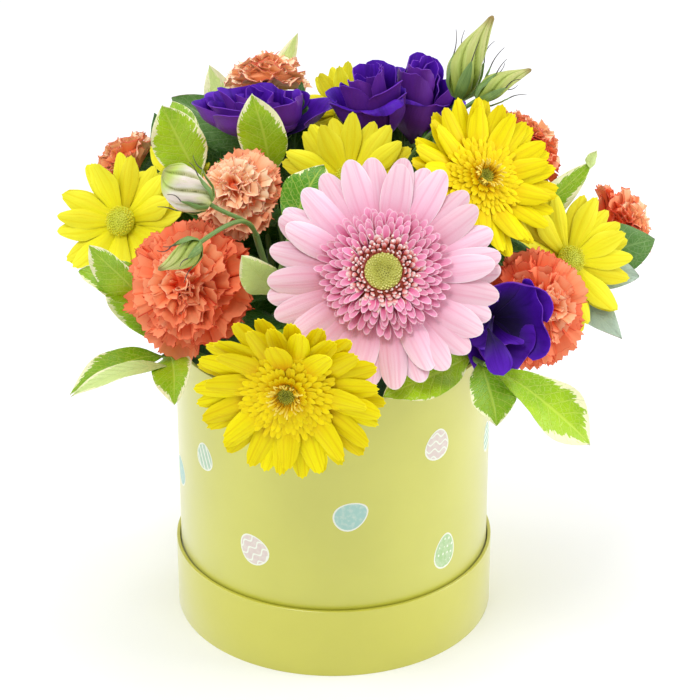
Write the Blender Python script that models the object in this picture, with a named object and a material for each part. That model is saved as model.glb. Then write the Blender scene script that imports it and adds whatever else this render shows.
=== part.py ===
"""Flower hat box: a round paper-covered box in its upturned lid, filled with fresh flowers.

Units are metres and +Z is up. The origin is the centre of the lid's underside, and the front of the
arrangement looks along -Y. Real sizes are written in millimetres and multiplied by MM.
"""
import math
import random
from collections import namedtuple

import bmesh
import bpy
from mathutils import Vector
from mathutils.geometry import interpolate_bezier

MM = 0.001
UP = Vector((0, 0, 1))
GAP = 0.3                    # clearance between pieces that touch, in mm
SEED = 7

# Holder, in mm
BODY_RADIUS = 80.0
BODY_RIM_HEIGHT = 155.0
CARD = 1.8                   # thickness of the card wall
LID_HEIGHT = 38.0
LID_SLACK = 0.6              # radial play between the box and its lid
HOLDER_SIDES = 48
LINER_FILM = 0.6
LINER_RIM_HEIGHT = 151.0
FOAM_TOP = 147.0
FOAM_SIDES = 24

LID_RADIUS = BODY_RADIUS + LID_SLACK + CARD
BODY_BASE = CARD + GAP
LINER_RADIUS = BODY_RADIUS - CARD - 2 * GAP
LINER_BASE = BODY_BASE + CARD + GAP
FOAM_RADIUS = LINER_RADIUS - LINER_FILM - 3 * GAP
FOAM_BASE = LINER_BASE + LINER_FILM + GAP

# Stems, in mm
STEM_SIDES = 5
STEM_DEPTH = 30.0            # how far a stem goes into the foam
STEM_STEPS = 4
STEM_SOCKET = 1.5            # how far a stem's end goes into its calyx or fork
BUD_STEM_RADIUS = 1.1
BRANCH_SHARE = 0.8           # a branch's radius, as a share of its stem's
BEND = 0.4                   # how far a stem holds its heading, as a share of its span
HOLE_SIDES = 5
BLADE = 0.7                  # thickness of a petal or leaf
MERGE = 0.000001             # corners closer than this are one, in metres

# Colours as seen, 0 to 255
LID_YELLOW = (212, 210, 105)
BODY_YELLOW = (218, 217, 125)
FILM_GREY = (190, 195, 190)
FOAM_GREEN = (60, 105, 60)
PINK = (243, 185, 208)
DEEP_PINK = (226, 125, 178)
YELLOW = (233, 220, 20)
GOLD = (215, 195, 10)
LEMON = (244, 236, 45)
DISC_YELLOW = (198, 198, 60)
CORAL = (240, 115, 85)
PURPLE = (66, 24, 135)
STEM_GREEN = (105, 140, 60)
LEAF_GREEN = (110, 170, 45)
DULL_GREEN = (95, 130, 85)

# A bloom's head is the place of its hub, in mm. Azimuth turns from the front (-Y) towards +X, and
# elevation rises from level, both in degrees.
Bloom = namedtuple("Bloom", "head azimuth elevation radius")

GERBERAS = {
    "gerbera_pink": Bloom((24, -77, 221), 0, 36, 57),
    "gerbera_front": Bloom((-20, -122, 182), -10, 0, 46),
    "gerbera_right": Bloom((73, -14, 243), 32, 38, 40),
}
DAISIES = {
    "daisy_left": Bloom((-105, 2, 213), -22, 32, 35),
    "daisy_left_rear": Bloom((-82, 38, 221), -48, 50, 26),
    "daisy_top": Bloom((8, -8, 239), -2, 38, 35),
    "daisy_top_rear": Bloom((7, 68, 246), 10, 44, 26),
    "daisy_right": Bloom((120, 19, 184), 30, 28, 37),
    "daisy_back": Bloom((62, 98, 198), 148, 26, 33),
}
CARNATIONS = {
    "carnation_left": Bloom((-67, -58, 206), -25, 28, 33),
    "carnation_upper": Bloom((-46, -21, 238), -20, 50, 23),
    "carnation_right": Bloom((100, -33, 183), 30, 20, 30),
    "carnation_top_rear": Bloom((-35, 89, 256), -170, 62, 23),
    "carnation_rear_left": Bloom((-108, 78, 211), -120, 30, 23),
    "carnation_rear_right": Bloom((97, 58, 231), 118, 44, 25),
    "carnation_far_right": Bloom((152, 79, 176), 84, 22, 25),
    "carnation_back": Bloom((-22, 112, 200), -170, 24, 26),
}
DAISY_RAYS = 12
DAISY_HUB_RADIUS = 7.0
DAISY_RAY_WIDTH = 12.5
FULL_CARNATION = 30          # a carnation of this radius or more has every frill, in mm
# A lisianthus's head is the foot of its cup. Flare is the rim's radius and depth the cup's height.
Cup = namedtuple("Cup", "head azimuth elevation flare depth")
LISIANTHUS = {
    "lisianthus_left": Cup((-35, 38, 241), -170, 82, 28, 24),
    "lisianthus_top": Cup((24, 36, 240), -90, 80, 17, 38),
    "lisianthus_top_rear": Cup((40, 58, 232), 75, 80, 17, 40),
    "lisianthus_low": Cup((76, -58, 189), 24, 20, 20, 22),
    "lisianthus_back": Cup((-62, 96, 204), -150, 36, 24, 30),
}
# A bud's foot and tip
Bud = namedtuple("Bud", "foot tip radius")
TOP_BUDS = (Bud((62, 26, 269), (77, 36, 309), 9.5), Bud((71, 16, 272), (97, 24, 286), 6.5))
LEFT_BUDS = (Bud((-57, -60, 249), (-79, -56, 264), 10.0), Bud((-61, -84, 240), (-79, -96, 231), 6.5))


def mm(x, y, z):
    """A point given in millimetres."""
    return Vector((x, y, z)) * MM


def direction(azimuth, elevation):
    """Unit vector that looks out from the arrangement."""
    turn, rise = math.radians(azimuth), math.radians(elevation)
    return Vector((math.sin(turn) * math.cos(rise), -math.cos(turn) * math.cos(rise), math.sin(rise)))


def linear(channel):
    """One colour channel, as seen, turned into light."""
    value = channel / 255
    return value / 12.92 if value <= 0.04045 else ((value + 0.055) / 1.055) ** 2.4


def finish(name, colour, roughness):
    """Material of one sub-part."""
    material = bpy.data.materials.new(name)
    material.use_nodes = True
    shader = material.node_tree.nodes["Principled BSDF"]
    shader.inputs["Base Color"].default_value = (*[linear(c) for c in colour], 1)
    shader.inputs["Roughness"].default_value = roughness
    shader.inputs["Metallic"].default_value = 0
    return material


def add_object(name, bm, colour, roughness=0.6, smooth=None):
    """Turn a bmesh into a named object with its own material."""
    bmesh.ops.recalc_face_normals(bm, faces=bm.faces[:])
    mesh = bpy.data.meshes.new(name)
    bm.to_mesh(mesh)
    bm.free()
    if smooth is not None:
        mesh.shade_smooth()
        mesh.set_sharp_from_angle(angle=math.radians(smooth))
    mesh.materials.append(finish(name, colour, roughness))
    piece = bpy.data.objects.new(name, mesh)
    bpy.context.scene.collection.objects.link(piece)
    return piece


def face_out(piece, bloom):
    """Set a piece's hub at the bloom's head, looking out along its face."""
    piece.location = mm(*bloom.head)
    piece.rotation_mode = "QUATERNION"
    piece.rotation_quaternion = direction(bloom.azimuth, bloom.elevation).to_track_quat("Z", "Y")


def loft(bm, sections):
    """Closed body through cross-sections of equal corner count."""
    rings = [[bm.verts.new(point) for point in section] for section in sections]
    bm.faces.new(rings[0])
    bm.faces.new(rings[-1])
    for low, high in zip(rings, rings[1:]):
        for i in range(len(low)):
            j = (i + 1) % len(low)
            bm.faces.new((low[i], low[j], high[j], high[i]))


def tube(bm, path, radii, sides=STEM_SIDES):
    """Round tube along a path, with a radius for each point of it."""
    side = (path[1] - path[0]).orthogonal().normalized()
    sections = []
    for i, point in enumerate(path):
        ahead = path[min(i + 1, len(path) - 1)] - path[max(i - 1, 0)]
        ahead.normalize()
        side = (side - ahead * side.dot(ahead)).normalized()
        across = ahead.cross(side)
        angles = [2 * math.pi * k / sides for k in range(sides)]
        sections.append([point + radii[i] * MM * (side * math.cos(a) + across * math.sin(a)) for a in angles])
    loft(bm, sections)


def turned_cup(name, radius, base, rim, wall, floor, sides, colour, roughness):
    """Round cup with straight walls and a flat floor."""
    bm = bmesh.new()
    depth = rim - base
    bmesh.ops.create_cone(bm, cap_ends=True, segments=sides, radius1=radius * MM, radius2=radius * MM,
                          depth=depth * MM)
    bmesh.ops.translate(bm, verts=bm.verts, vec=mm(0, 0, base + depth / 2))
    top = max(bm.faces, key=lambda face: face.calc_center_median().z)
    for ring_radius, height in ((radius - wall, rim), (radius - wall, base + floor)):
        top = step_in(bm, top, ring_radius, height)
    return add_object(name, bm, colour, roughness, smooth=30)


def step_in(bm, face, radius, height):
    """Extrude a round top face to a new radius and height, in mm."""
    face = bmesh.ops.extrude_discrete_faces(bm, faces=[face])["faces"][0]
    for vert in face.verts:
        out = Vector((vert.co.x, vert.co.y, 0)).normalized()
        vert.co = out * radius * MM + UP * height * MM
    return face


def fuse(name, solids, colour, roughness=0.6):
    """Join closed solids, each in its own bmesh, into one body by a Boolean union."""
    group = bpy.data.collections.new(name + "_group")
    bpy.context.scene.collection.children.link(group)
    pieces = []
    for solid in solids:
        bmesh.ops.recalc_face_normals(solid, faces=solid.faces[:])
        mesh = bpy.data.meshes.new(name + "_solid")
        solid.to_mesh(mesh)
        solid.free()
        pieces.append(bpy.data.objects.new(name + "_solid", mesh))
    base = pieces[0]
    bpy.context.scene.collection.objects.link(base)
    for piece in pieces[1:]:
        group.objects.link(piece)
    union = base.modifiers.new("union", "BOOLEAN")
    union.operation = "UNION"
    union.operand_type = "COLLECTION"
    union.collection = group
    union.solver = "EXACT"
    joined = bpy.data.meshes.new_from_object(base.evaluated_get(bpy.context.evaluated_depsgraph_get()))
    for piece in pieces:
        bpy.data.objects.remove(piece)
    bpy.data.collections.remove(group)
    bm = bmesh.new()
    bm.from_mesh(joined)
    bpy.data.meshes.remove(joined)
    bmesh.ops.remove_doubles(bm, verts=bm.verts, dist=MERGE)
    return add_object(name, bm, colour, roughness)


def grow(bm, face, sections):
    """Extrude a hub's side face out through a blade's sections: reach, rise, width and thickness."""
    centre = face.calc_center_median()
    out = Vector((centre.x, centre.y, 0)).normalized()
    side = UP.cross(out)
    corners = [(math.copysign(0.5, vert.co.dot(side)), math.copysign(0.5, vert.co.z - centre.z))
               for vert in face.verts]
    for reach, rise, width, thickness in sections:
        face = bmesh.ops.extrude_discrete_faces(bm, faces=[face])["faces"][0]
        for vert, (left, top) in zip(face.verts, corners):
            vert.co = (out * reach + side * left * width + UP * (rise + top * thickness)) * MM


def hub(bm, sides, radius, low, high):
    """Round hub between two heights, and its side faces in order round it."""
    bmesh.ops.create_cone(bm, cap_ends=True, segments=sides, radius1=radius * MM, radius2=radius * MM,
                          depth=(high - low) * MM)
    bmesh.ops.translate(bm, verts=bm.verts, vec=mm(0, 0, (low + high) / 2))
    bm.normal_update()
    middles = [(face.calc_center_median(), face) for face in bm.faces if abs(face.normal.z) < 0.5]
    middles.sort(key=lambda item: math.atan2(item[0].y, item[0].x))
    return [face for middle, face in middles]


# Rays, in mm where not a share. Each has a narrow foot on the hub.
RAY_HUB_DEPTH = 3.0
UNDER_LAYER = -2.5           # height of the even rays
UPPER_LAYER = -0.5           # height of the odd rays
RAY_FOOT_REACH = 5.0
RAY_FOOT_SPREAD = 1.25       # the foot's width, as a share of the hub's side
RAY_FOOT_THICKNESS = 0.9
RAY_SHORTEST = 0.95          # shortest ray as a share of the bloom's radius
RAY_WAVER = 0.3              # how far a ray's tip strays up or down
FOLD_SHORTENING = 0.3        # what a forward fold takes off a ray's length
# Shape of a ray: share of the bloom's radius, and share of the ray's full width
GERBERA_RAY = ((0.62, 0.94), (0.90, 1.0), (1.0, 0.48))
PLAIN_RAY = ((0.72, 1.0), (1.0, 0.42))


def ray_bloom(name, bloom, count, hub_radius, width, shape, colour, cup, fold=0.0):
    """Two layers of rays round a hub. Rays at the top of the bloom fold forward by the given height."""
    rng = random.Random(f"{name}{SEED}")
    bm = bmesh.new()
    faces = hub(bm, count, hub_radius, -RAY_HUB_DEPTH, 0)
    foot_width = 2 * hub_radius * math.sin(math.pi / count) * RAY_FOOT_SPREAD
    for i, face in enumerate(faces):
        centre = face.calc_center_median()
        folded = max(0.0, centre.normalized().y) ** 2 * fold
        level = UPPER_LAYER if i % 2 else UNDER_LAYER
        length = (bloom.radius - FOLD_SHORTENING * folded) * rng.uniform(RAY_SHORTEST, 1.0)
        lift = level + rng.uniform(-RAY_WAVER, RAY_WAVER)
        sections = [(hub_radius + RAY_FOOT_REACH, level, foot_width, RAY_FOOT_THICKNESS)]
        for share, breadth in shape:
            rise = lift + (cup + folded) * share ** 2
            sections.append((length * share, rise, width * breadth, BLADE))
        grow(bm, face, sections)
    piece = add_object(name + "_rays", bm, colour)
    face_out(piece, bloom)


# Small florets round a gerbera's crown: share of their reach, and heights of root and tip in mm
FLORET_ROWS = ((1.0, 3.5, 5.3), (0.78, 5.3, 9.3))
FLORET_SPREAD = 1.2          # width as a share of the crown's side
FLORET_ROOT_REACH = 3.0
FLORET_ROOT_THICKNESS = 1.0
FLORET_THICKNESS = 0.8
CROWN_BASE = 3.0
# Crown of stamens round a sunken eye: share of the crown's radius, and height in mm
CROWN_STEPS = ((0.86, 7.3), (0.62, 7.9), (0.48, 3.5))


def gerbera_disc(name, bloom, count, radius, reach, colour):
    """Ring of small florets round a crown of stamens and a sunken eye."""
    bm = bmesh.new()
    faces = hub(bm, count, radius, GAP, GAP + CROWN_BASE)
    top = max(bm.faces, key=lambda face: face.calc_center_median().z)
    width = 2 * radius * math.sin(math.pi / count) * FLORET_SPREAD
    for i, face in enumerate(faces):
        share, root, tip = FLORET_ROWS[i % 2]
        grow(bm, face, [(radius + FLORET_ROOT_REACH, root, width, FLORET_ROOT_THICKNESS),
                        (reach * share, tip, width, FLORET_THICKNESS)])
    for share, height in CROWN_STEPS:
        top = step_in(bm, top, radius * share, height)
    piece = add_object(name + "_disc", bm, colour)
    face_out(piece, bloom)


BUTTON_RADIUS = 6.8
BUTTON_BASE = 1.5
BUTTON_SIDES = 12
# Domed top of a daisy's button: share of its radius, and height in mm
BUTTON_STEPS = ((0.82, 3.4), (0.4, 4.4))


def daisy_disc(name, bloom):
    """Low round button."""
    bm = bmesh.new()
    hub(bm, BUTTON_SIDES, BUTTON_RADIUS, GAP, GAP + BUTTON_BASE)
    top = max(bm.faces, key=lambda face: face.calc_center_median().z)
    for share, height in BUTTON_STEPS:
        top = step_in(bm, top, BUTTON_RADIUS * share, height)
    piece = add_object(name + "_disc", bm, DISC_YELLOW, smooth=60)
    face_out(piece, bloom)


# One ring of a turned skin: its radius and height, and how far its corners wave up and jag out
Ring = namedtuple("Ring", "radius height wave jag")


def ringed_skin(bm, rings, count, lobes=None):
    """Closed skin over rings of one centre line, split alike on both faces of each frill."""
    loops = []
    for ring in rings:
        loop = []
        for i in range(count):
            angle = 2 * math.pi * i / count
            zigzag = math.cos(lobes * angle) if lobes else (1 if i % 2 else -1)
            reach = ring.radius * (1 + ring.jag * zigzag)
            height = ring.height + ring.wave * zigzag
            loop.append(bm.verts.new(mm(reach * math.cos(angle), reach * math.sin(angle), height)))
        loops.append(loop)
    bm.faces.new(loops[0])
    bm.faces.new(loops[-1])
    for k, (low, high) in enumerate(zip(loops, loops[1:])):
        outward = rings[k + 1].radius >= rings[k].radius
        for i in range(count):
            j = (i + 1) % count
            if outward:
                bm.faces.new((low[i], low[j], high[j]))
                bm.faces.new((low[i], high[j], high[i]))
            else:
                bm.faces.new((low[i], low[j], high[i]))
                bm.faces.new((low[j], high[j], high[i]))


# A carnation, in shares of its radius. Each frill has its root's radius and height, then its rim's.
FRILLS = ((0.20, -0.24, 1.0, -0.16), (0.23, -0.08, 0.95, 0.12), (0.22, 0.08, 0.74, 0.36),
          (0.17, 0.22, 0.46, 0.52))
FRILL_WAVE = 0.075
FRILL_JAG = 0.05             # teeth, as a share of the frill's own radius
FRILL_HALF = 0.55 * BLADE    # half of a frill's height at its edge, in mm
CARNATION_FOOT = 0.36        # depth of the foot behind the head
CARNATION_FOOT_RADIUS = 0.15
CARNATION_TIP = 0.2          # the core's top above the last frill's root
CARNATION_TIP_RADIUS = 0.06


def carnation(name, bloom, count, frills):
    """Frilled bloom: waved rings of petal that stand out of a narrow core."""
    size = bloom.radius
    rings = [Ring(CARNATION_FOOT_RADIUS * size, -CARNATION_FOOT * size, 0, 0)]
    for k, (root, root_height, rim, rim_height) in enumerate(frills):
        wave = FRILL_WAVE * size * (1 if k % 2 else -1)
        rings.append(Ring(root * size, root_height * size - FRILL_HALF, 0, 0))
        rings.append(Ring(rim * size, rim_height * size - FRILL_HALF, wave, FRILL_JAG))
        rings.append(Ring(rim * size, rim_height * size + FRILL_HALF, wave, FRILL_JAG))
        rings.append(Ring(root * size, root_height * size + FRILL_HALF, 0, 0))
    top = frills[-1][1] + CARNATION_TIP
    rings.append(Ring(CARNATION_TIP_RADIUS * size, top * size, 0, 0))
    bm = bmesh.new()
    ringed_skin(bm, rings, count)
    piece = add_object(name + "_bloom", bm, CORAL)
    face_out(piece, bloom)


# A lisianthus's cup from foot to rim, and the furled heart in it: share of the flare, share of the
# depth, wave as a share of the depth, and lobing
CUP_OUTSIDE = ((0.14, 0.0, 0.0, 0.0), (0.42, 0.28, 0.0, 0.03), (0.70, 0.66, 0.0, 0.05),
               (1.0, 1.0, 0.06, 0.10))
CUP_HEART = ((0.20, 0.36, 0.0, 0.0), (0.22, 0.60, 0.0, 0.10), (0.08, 0.78, 0.0, 0.0))
CUP_WALL = 1.2               # in mm, measured level
CUP_LIP = 0.5                # how far the inner face stands above the outer one, in mm
CUP_CORNERS = 15
CUP_LOBES = 5


def lisianthus(name, cup):
    """Cup of soft petals with a lobed rim and a furled heart."""
    def ring(shape, inset, lift):
        radius, height, wave, jag = shape
        return Ring(radius * cup.flare - inset, height * cup.depth + lift, wave * cup.depth, jag)

    outer = [ring(shape, 0, 0) for shape in CUP_OUTSIDE]
    inner = [ring(shape, CUP_WALL, CUP_LIP) for shape in reversed(CUP_OUTSIDE[1:])]
    heart = [ring(shape, 0, 0) for shape in CUP_HEART]
    bm = bmesh.new()
    ringed_skin(bm, outer + inner + heart, CUP_CORNERS, CUP_LOBES)
    piece = add_object(name + "_bloom", bm, PURPLE)
    face_out(piece, cup)


# Where a stem meets its bloom: the calyx's profile as distance behind the head and radius, in mm
GERBERA_CALYX = ((20.0, 2.6), (9.0, 6.5), (RAY_HUB_DEPTH + GAP, 9.0))
DAISY_CALYX = ((10.0, 1.5), (6.5, 4.5), (RAY_HUB_DEPTH + GAP, 5.5))
CUP_CALYX = ((8.0, 1.6), (4.0, 3.2), (GAP, 3.6))
CALYX_SIDES = 7


# A carnation's calyx: distance behind its end and radius, as shares of the bloom's radius
TUBE_CALYX = ((0.75, 0.06), (0.6, 0.2), (0.0, 0.24))


def carnation_calyx(radius):
    """Tubular calyx that ends just behind the bloom's foot."""
    end = CARNATION_FOOT * radius + GAP
    return tuple((end + back * radius, share * radius) for back, share in TUBE_CALYX)


def calyx_solid(bloom, profile):
    """Turned calyx on the bloom's own axis."""
    bm = bmesh.new()
    out = direction(bloom.azimuth, bloom.elevation)
    path = [mm(*bloom.head) - out * back * MM for back, radius in profile]
    tube(bm, path, [radius for back, radius in profile], sides=CALYX_SIDES)
    return bm


def curve_path(start, lean, end, arrival):
    """Curve that leaves one place along its lean and reaches another along its arrival."""
    reach = (end - start).length * BEND
    return interpolate_bezier(start, start + lean * reach, end - arrival * reach, end, STEM_STEPS)


def tube_solid(path, radius):
    """Stem of one radius along a path."""
    bm = bmesh.new()
    tube(bm, path, [radius] * len(path))
    return bm


def along(path, share):
    """Point at a share of the way along a path's points."""
    place = share * (len(path) - 1)
    k = min(int(place), len(path) - 2)
    return path[k].lerp(path[k + 1], place - k)


# Shape of a bud: share of its length, and share of its radius
BUD_SHAPE = ((0.0, 0.25), (0.12, 0.8), (0.32, 1.0), (0.6, 0.72), (0.85, 0.32), (1.0, 0.14))


def bud_solid(bud):
    """Pointed bud."""
    bm = bmesh.new()
    foot, tip = mm(*bud.foot), mm(*bud.tip)
    path = [foot.lerp(tip, share) for share, size in BUD_SHAPE]
    tube(bm, path, [bud.radius * size for share, size in BUD_SHAPE])
    return bm


# A leaf leaves its stem at a share of the way along, and runs to its tip. Face is the way its upper
# side looks, as azimuth and elevation, and arch is its hump as a share of its length.
Leaf = namedtuple("Leaf", "share tip width face arch")
# Place is a stem's hole in the foam. Fork is where a spray divides, or None for a single stem.
Stem = namedtuple("Stem", "place radius fork blooms buds leaves")
STEMS = {
    "gerbera_pink_stem": Stem((12, -34), 2.6, None, ["gerbera_pink"], (), (
        Leaf(0.40, (46, -26, 192), 22, (60, 60), 0.10),)),
    "gerbera_front_stem": Stem((-8, -58), 2.4, None, ["gerbera_front"], (), ()),
    "gerbera_right_stem": Stem((38, -8), 2.4, None, ["gerbera_right"], (), (
        Leaf(0.30, (72, 4, 192), 22, (90, 60), 0.10),)),
    "daisy_left_stem": Stem((-52, 8), 1.9, (-66, 12, 182), ["daisy_left", "daisy_left_rear"], (), (
        Leaf(0.80, (-112, 32, 178), 24, (-90, 50), 0.12),)),
    "daisy_top_stem": Stem((0, 12), 1.9, (0, 18, 190), ["daisy_top", "daisy_top_rear"], (), (
        Leaf(0.80, (10, -24, 200), 22, (0, 60), 0.10),
        Leaf(0.55, (-8, 54, 186), 22, (180, 60), 0.10))),
    "daisy_right_stem": Stem((62, -12), 1.7, None, ["daisy_right"], (), ()),
    "daisy_back_stem": Stem((34, 54), 1.7, None, ["daisy_back"], (), (
        Leaf(0.45, (84, 82, 166), 22, (150, 50), 0.12),
        Leaf(0.60, (34, 80, 230), 22, (170, 30), 0.08))),
    "carnation_left_stem": Stem((-38, -34), 2.0, None, ["carnation_left"], (), (
        Leaf(0.35, (-26, -70, 176), 22, (10, 60), 0.10),)),
    "carnation_right_stem": Stem((56, -36), 2.0, None, ["carnation_right"], (), (
        Leaf(0.25, (84, -14, 172), 22, (70, 60), 0.10),)),
    "carnation_spray_left_stem": Stem((-30, 26), 2.0, (-38, 32, 184), [
        "carnation_upper", "carnation_top_rear", "carnation_rear_left"], (), (
            Leaf(0.60, (-58, 62, 190), 22, (-140, 60), 0.10),)),
    "carnation_spray_right_stem": Stem((62, 20), 2.0, (72, 24, 180), [
        "carnation_rear_right", "carnation_far_right"], (), (
            Leaf(0.90, (104, 78, 190), 20, (140, 50), 0.10),
            Leaf(0.98, (134, 46, 222), 19, (30, 20), 0.03))),
    "carnation_back_stem": Stem((-8, 62), 2.0, None, ["carnation_back"], (), (
        Leaf(0.40, (-52, 112, 168), 18, (-170, 50), 0.12),)),
    "lisianthus_left_stem": Stem((-26, 8), 1.8, (-32, 16, 190), ["lisianthus_left"], (), (
        Leaf(0.70, (-62, -8, 200), 22, (-70, 60), 0.10),)),
    "lisianthus_top_stem": Stem((24, 26), 1.9, (26, 30, 188), [
        "lisianthus_top", "lisianthus_top_rear"], TOP_BUDS, (
            Leaf(0.85, (58, 46, 208), 22, (120, 60), 0.10),)),
    "lisianthus_low_stem": Stem((34, -52), 1.8, None, ["lisianthus_low"], (), ()),
    "lisianthus_back_stem": Stem((-38, 54), 1.8, None, ["lisianthus_back"], (), (
        Leaf(0.45, (-90, 98, 172), 24, (-150, 50), 0.12),
        Leaf(0.60, (-44, 96, 232), 24, (-175, 30), 0.10))),
    "lisianthus_bud_stem": Stem((-22, -22), 1.6, (-36, -50, 228), [], LEFT_BUDS, ()),
}
# Outline of a leaf: share of its length, and share of its full width
LEAF_SHAPE = ((0.0, 0.08), (0.30, 0.80), (0.58, 0.98), (0.85, 0.48), (1.0, 0.06))


def all_blooms():
    """Every bloom with its calyx, by name."""
    table = {name: (bloom, GERBERA_CALYX) for name, bloom in GERBERAS.items()}
    table.update({name: (bloom, DAISY_CALYX) for name, bloom in DAISIES.items()})
    table.update({name: (bloom, carnation_calyx(bloom.radius)) for name, bloom in CARNATIONS.items()})
    table.update({name: (cup, CUP_CALYX) for name, cup in LISIANTHUS.items()})
    return table


def add_stem(name, stem, table):
    """One stem, or a branching spray, with its calyxes, buds and leaves."""
    x, y = stem.place
    foot, start = mm(x, y, FOAM_TOP - STEM_DEPTH), mm(x, y, FOAM_TOP)
    solids, trunk, lean = [], None, UP
    if stem.fork:
        fork = mm(*stem.fork)
        onward = (fork - start).normalized()
        trunk = curve_path(start, UP, fork + onward * STEM_SOCKET * MM, onward)
        solids.append(tube_solid([foot, *trunk], stem.radius))
        start, lean = fork, onward
    slim = stem.radius * (BRANCH_SHARE if stem.fork else 1.0)
    for bloom_name in stem.blooms:
        bloom, profile = table[bloom_name]
        out = direction(bloom.azimuth, bloom.elevation)
        end = mm(*bloom.head) - out * (profile[0][0] - STEM_SOCKET) * MM
        branch = curve_path(start, lean, end, out)
        solids.append(tube_solid(branch if trunk else [foot, *branch], slim))
        solids.append(calyx_solid(bloom, profile))
        trunk = trunk or branch
    for bud in stem.buds:
        bud_foot = mm(*bud.foot)
        onward = (mm(*bud.tip) - bud_foot).normalized()
        branch = curve_path(start, lean, bud_foot + onward * STEM_SOCKET * MM, onward)
        solids.append(tube_solid(branch, BUD_STEM_RADIUS))
        solids.append(bud_solid(bud))
    solids += [leaf_solid(along(trunk, leaf.share), leaf) for leaf in stem.leaves]
    fuse(name, solids, STEM_GREEN)


SPRIG_STEPS = 3
Sprig = namedtuple("Sprig", "place via radius colour leaves")
SPRIGS = {
    "foliage_low_left": Sprig((-52, -26), ((-72, -42, 163), (-82, -52, 165)), 1.4, LEAF_GREEN, (
        Leaf(0.98, (-125, -80, 159), 22, (-30, 60), 0.10),
        Leaf(0.84, (-74, -98, 163), 20, (-20, 55), 0.10),
        Leaf(0.66, (-112, -8, 172), 24, (-90, 50), 0.12))),
    "foliage_left": Sprig((-60, -10), ((-80, -24, 176), (-90, -34, 186)), 1.3, LEAF_GREEN, (
        Leaf(0.98, (-119, -38, 212), 22, (-60, 40), 0.10),
        Leaf(0.80, (-128, -26, 194), 24, (-60, 60), 0.12))),
    "foliage_upper_left": Sprig((-50, 28), ((-62, 18, 214), (-66, 4, 236)), 1.3, LEAF_GREEN, (
        Leaf(0.98, (-83, 8, 272), 27, (-10, 20), 0.06),
        Leaf(0.80, (-82, 60, 254), 18, (-40, 50), 0.10))),
    "foliage_top": Sprig((-14, -4), ((-27, 6, 212), (-30, 4, 238)), 1.3, LEAF_GREEN, (
        Leaf(0.98, (-39, 5, 279), 25, (-12, 10), 0.06),
        Leaf(0.70, (-58, 34, 232), 20, (-60, 40), 0.10))),
    "foliage_front": Sprig((-10, -38), ((-20, -60, 184), (-26, -66, 206), (-20, -52, 230)), 1.3, LEAF_GREEN, (
        Leaf(0.98, (-4, -20, 252), 22, (0, 50), 0.12),
        Leaf(0.66, (-42, -77, 230), 18, (-10, 20), 0.08),
        Leaf(0.34, (-50, -98, 170), 20, (-20, 50), 0.10))),
    "foliage_low_right": Sprig((42, -50), ((60, -74, 176), (72, -86, 178)), 1.4, LEAF_GREEN, (
        Leaf(0.98, (121, -108, 147), 28, (14, 56), 0.10),
        Leaf(0.90, (77, -106, 156), 24, (0, 40), 0.12),
        Leaf(0.70, (24, -104, 170), 24, (0, 50), 0.10))),
    "foliage_right": Sprig((58, 10), ((94, 29, 173), (120, 38, 168)), 1.4, DULL_GREEN, (
        Leaf(0.98, (167, 54, 180), 28, (10, 30), 0.08),
        Leaf(0.90, (158, 38, 166), 22, (20, 40), 0.10),
        Leaf(0.72, (147, 6, 146), 20, (20, 50), 0.03))),
    "foliage_rear": Sprig((16, 66), ((24, 92, 186), (26, 104, 200)), 1.4, DULL_GREEN, (
        Leaf(0.98, (22, 132, 226), 24, (180, 40), 0.08),
        Leaf(0.80, (2, 134, 178), 22, (180, 50), 0.10),
        Leaf(0.62, (44, 122, 172), 22, (170, 50), 0.10))),
}


def smooth_path(points, steps):
    """Curve that passes through every point, by even cubic pieces."""
    ends = [points[0] * 2 - points[1], *points, points[-1] * 2 - points[-2]]
    path = []
    for a, b, c, d in zip(ends, ends[1:], ends[2:], ends[3:]):
        for k in range(steps):
            t = k / steps
            path.append(0.5 * (2 * b + (c - a) * t + (2 * a - 5 * b + 4 * c - d) * t ** 2
                               + (3 * b - a - 3 * c + d) * t ** 3))
    return path + [points[-1]]


def leaf_solid(root, leaf):
    """Thin arched blade from its root to its tip."""
    span = mm(*leaf.tip) - root
    side = span.cross(direction(*leaf.face)).normalized()
    normal = side.cross(span).normalized()
    hump = leaf.arch * span.length
    sections = []
    for share, breadth in LEAF_SHAPE:
        point = root + span * share + normal * hump * 4 * share * (1 - share)
        slope = (span + normal * hump * 4 * (1 - 2 * share)).normalized()
        lift = side.cross(slope) * BLADE / 2 * MM
        half = side * leaf.width * breadth / 2 * MM
        sections.append([point - half - lift, point + half - lift, point + half + lift, point - half + lift])
    bm = bmesh.new()
    loft(bm, sections)
    return bm


def add_sprig(name, sprig):
    """Leafy stem: its foot in the foam, its curve and its leaves."""
    x, y = sprig.place
    path = smooth_path([mm(x, y, FOAM_TOP), *[mm(*point) for point in sprig.via]], SPRIG_STEPS)
    solids = [tube_solid([mm(x, y, FOAM_TOP - STEM_DEPTH), *path], sprig.radius)]
    solids += [leaf_solid(along(path, leaf.share), leaf) for leaf in sprig.leaves]
    fuse(name, solids, sprig.colour)


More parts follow.
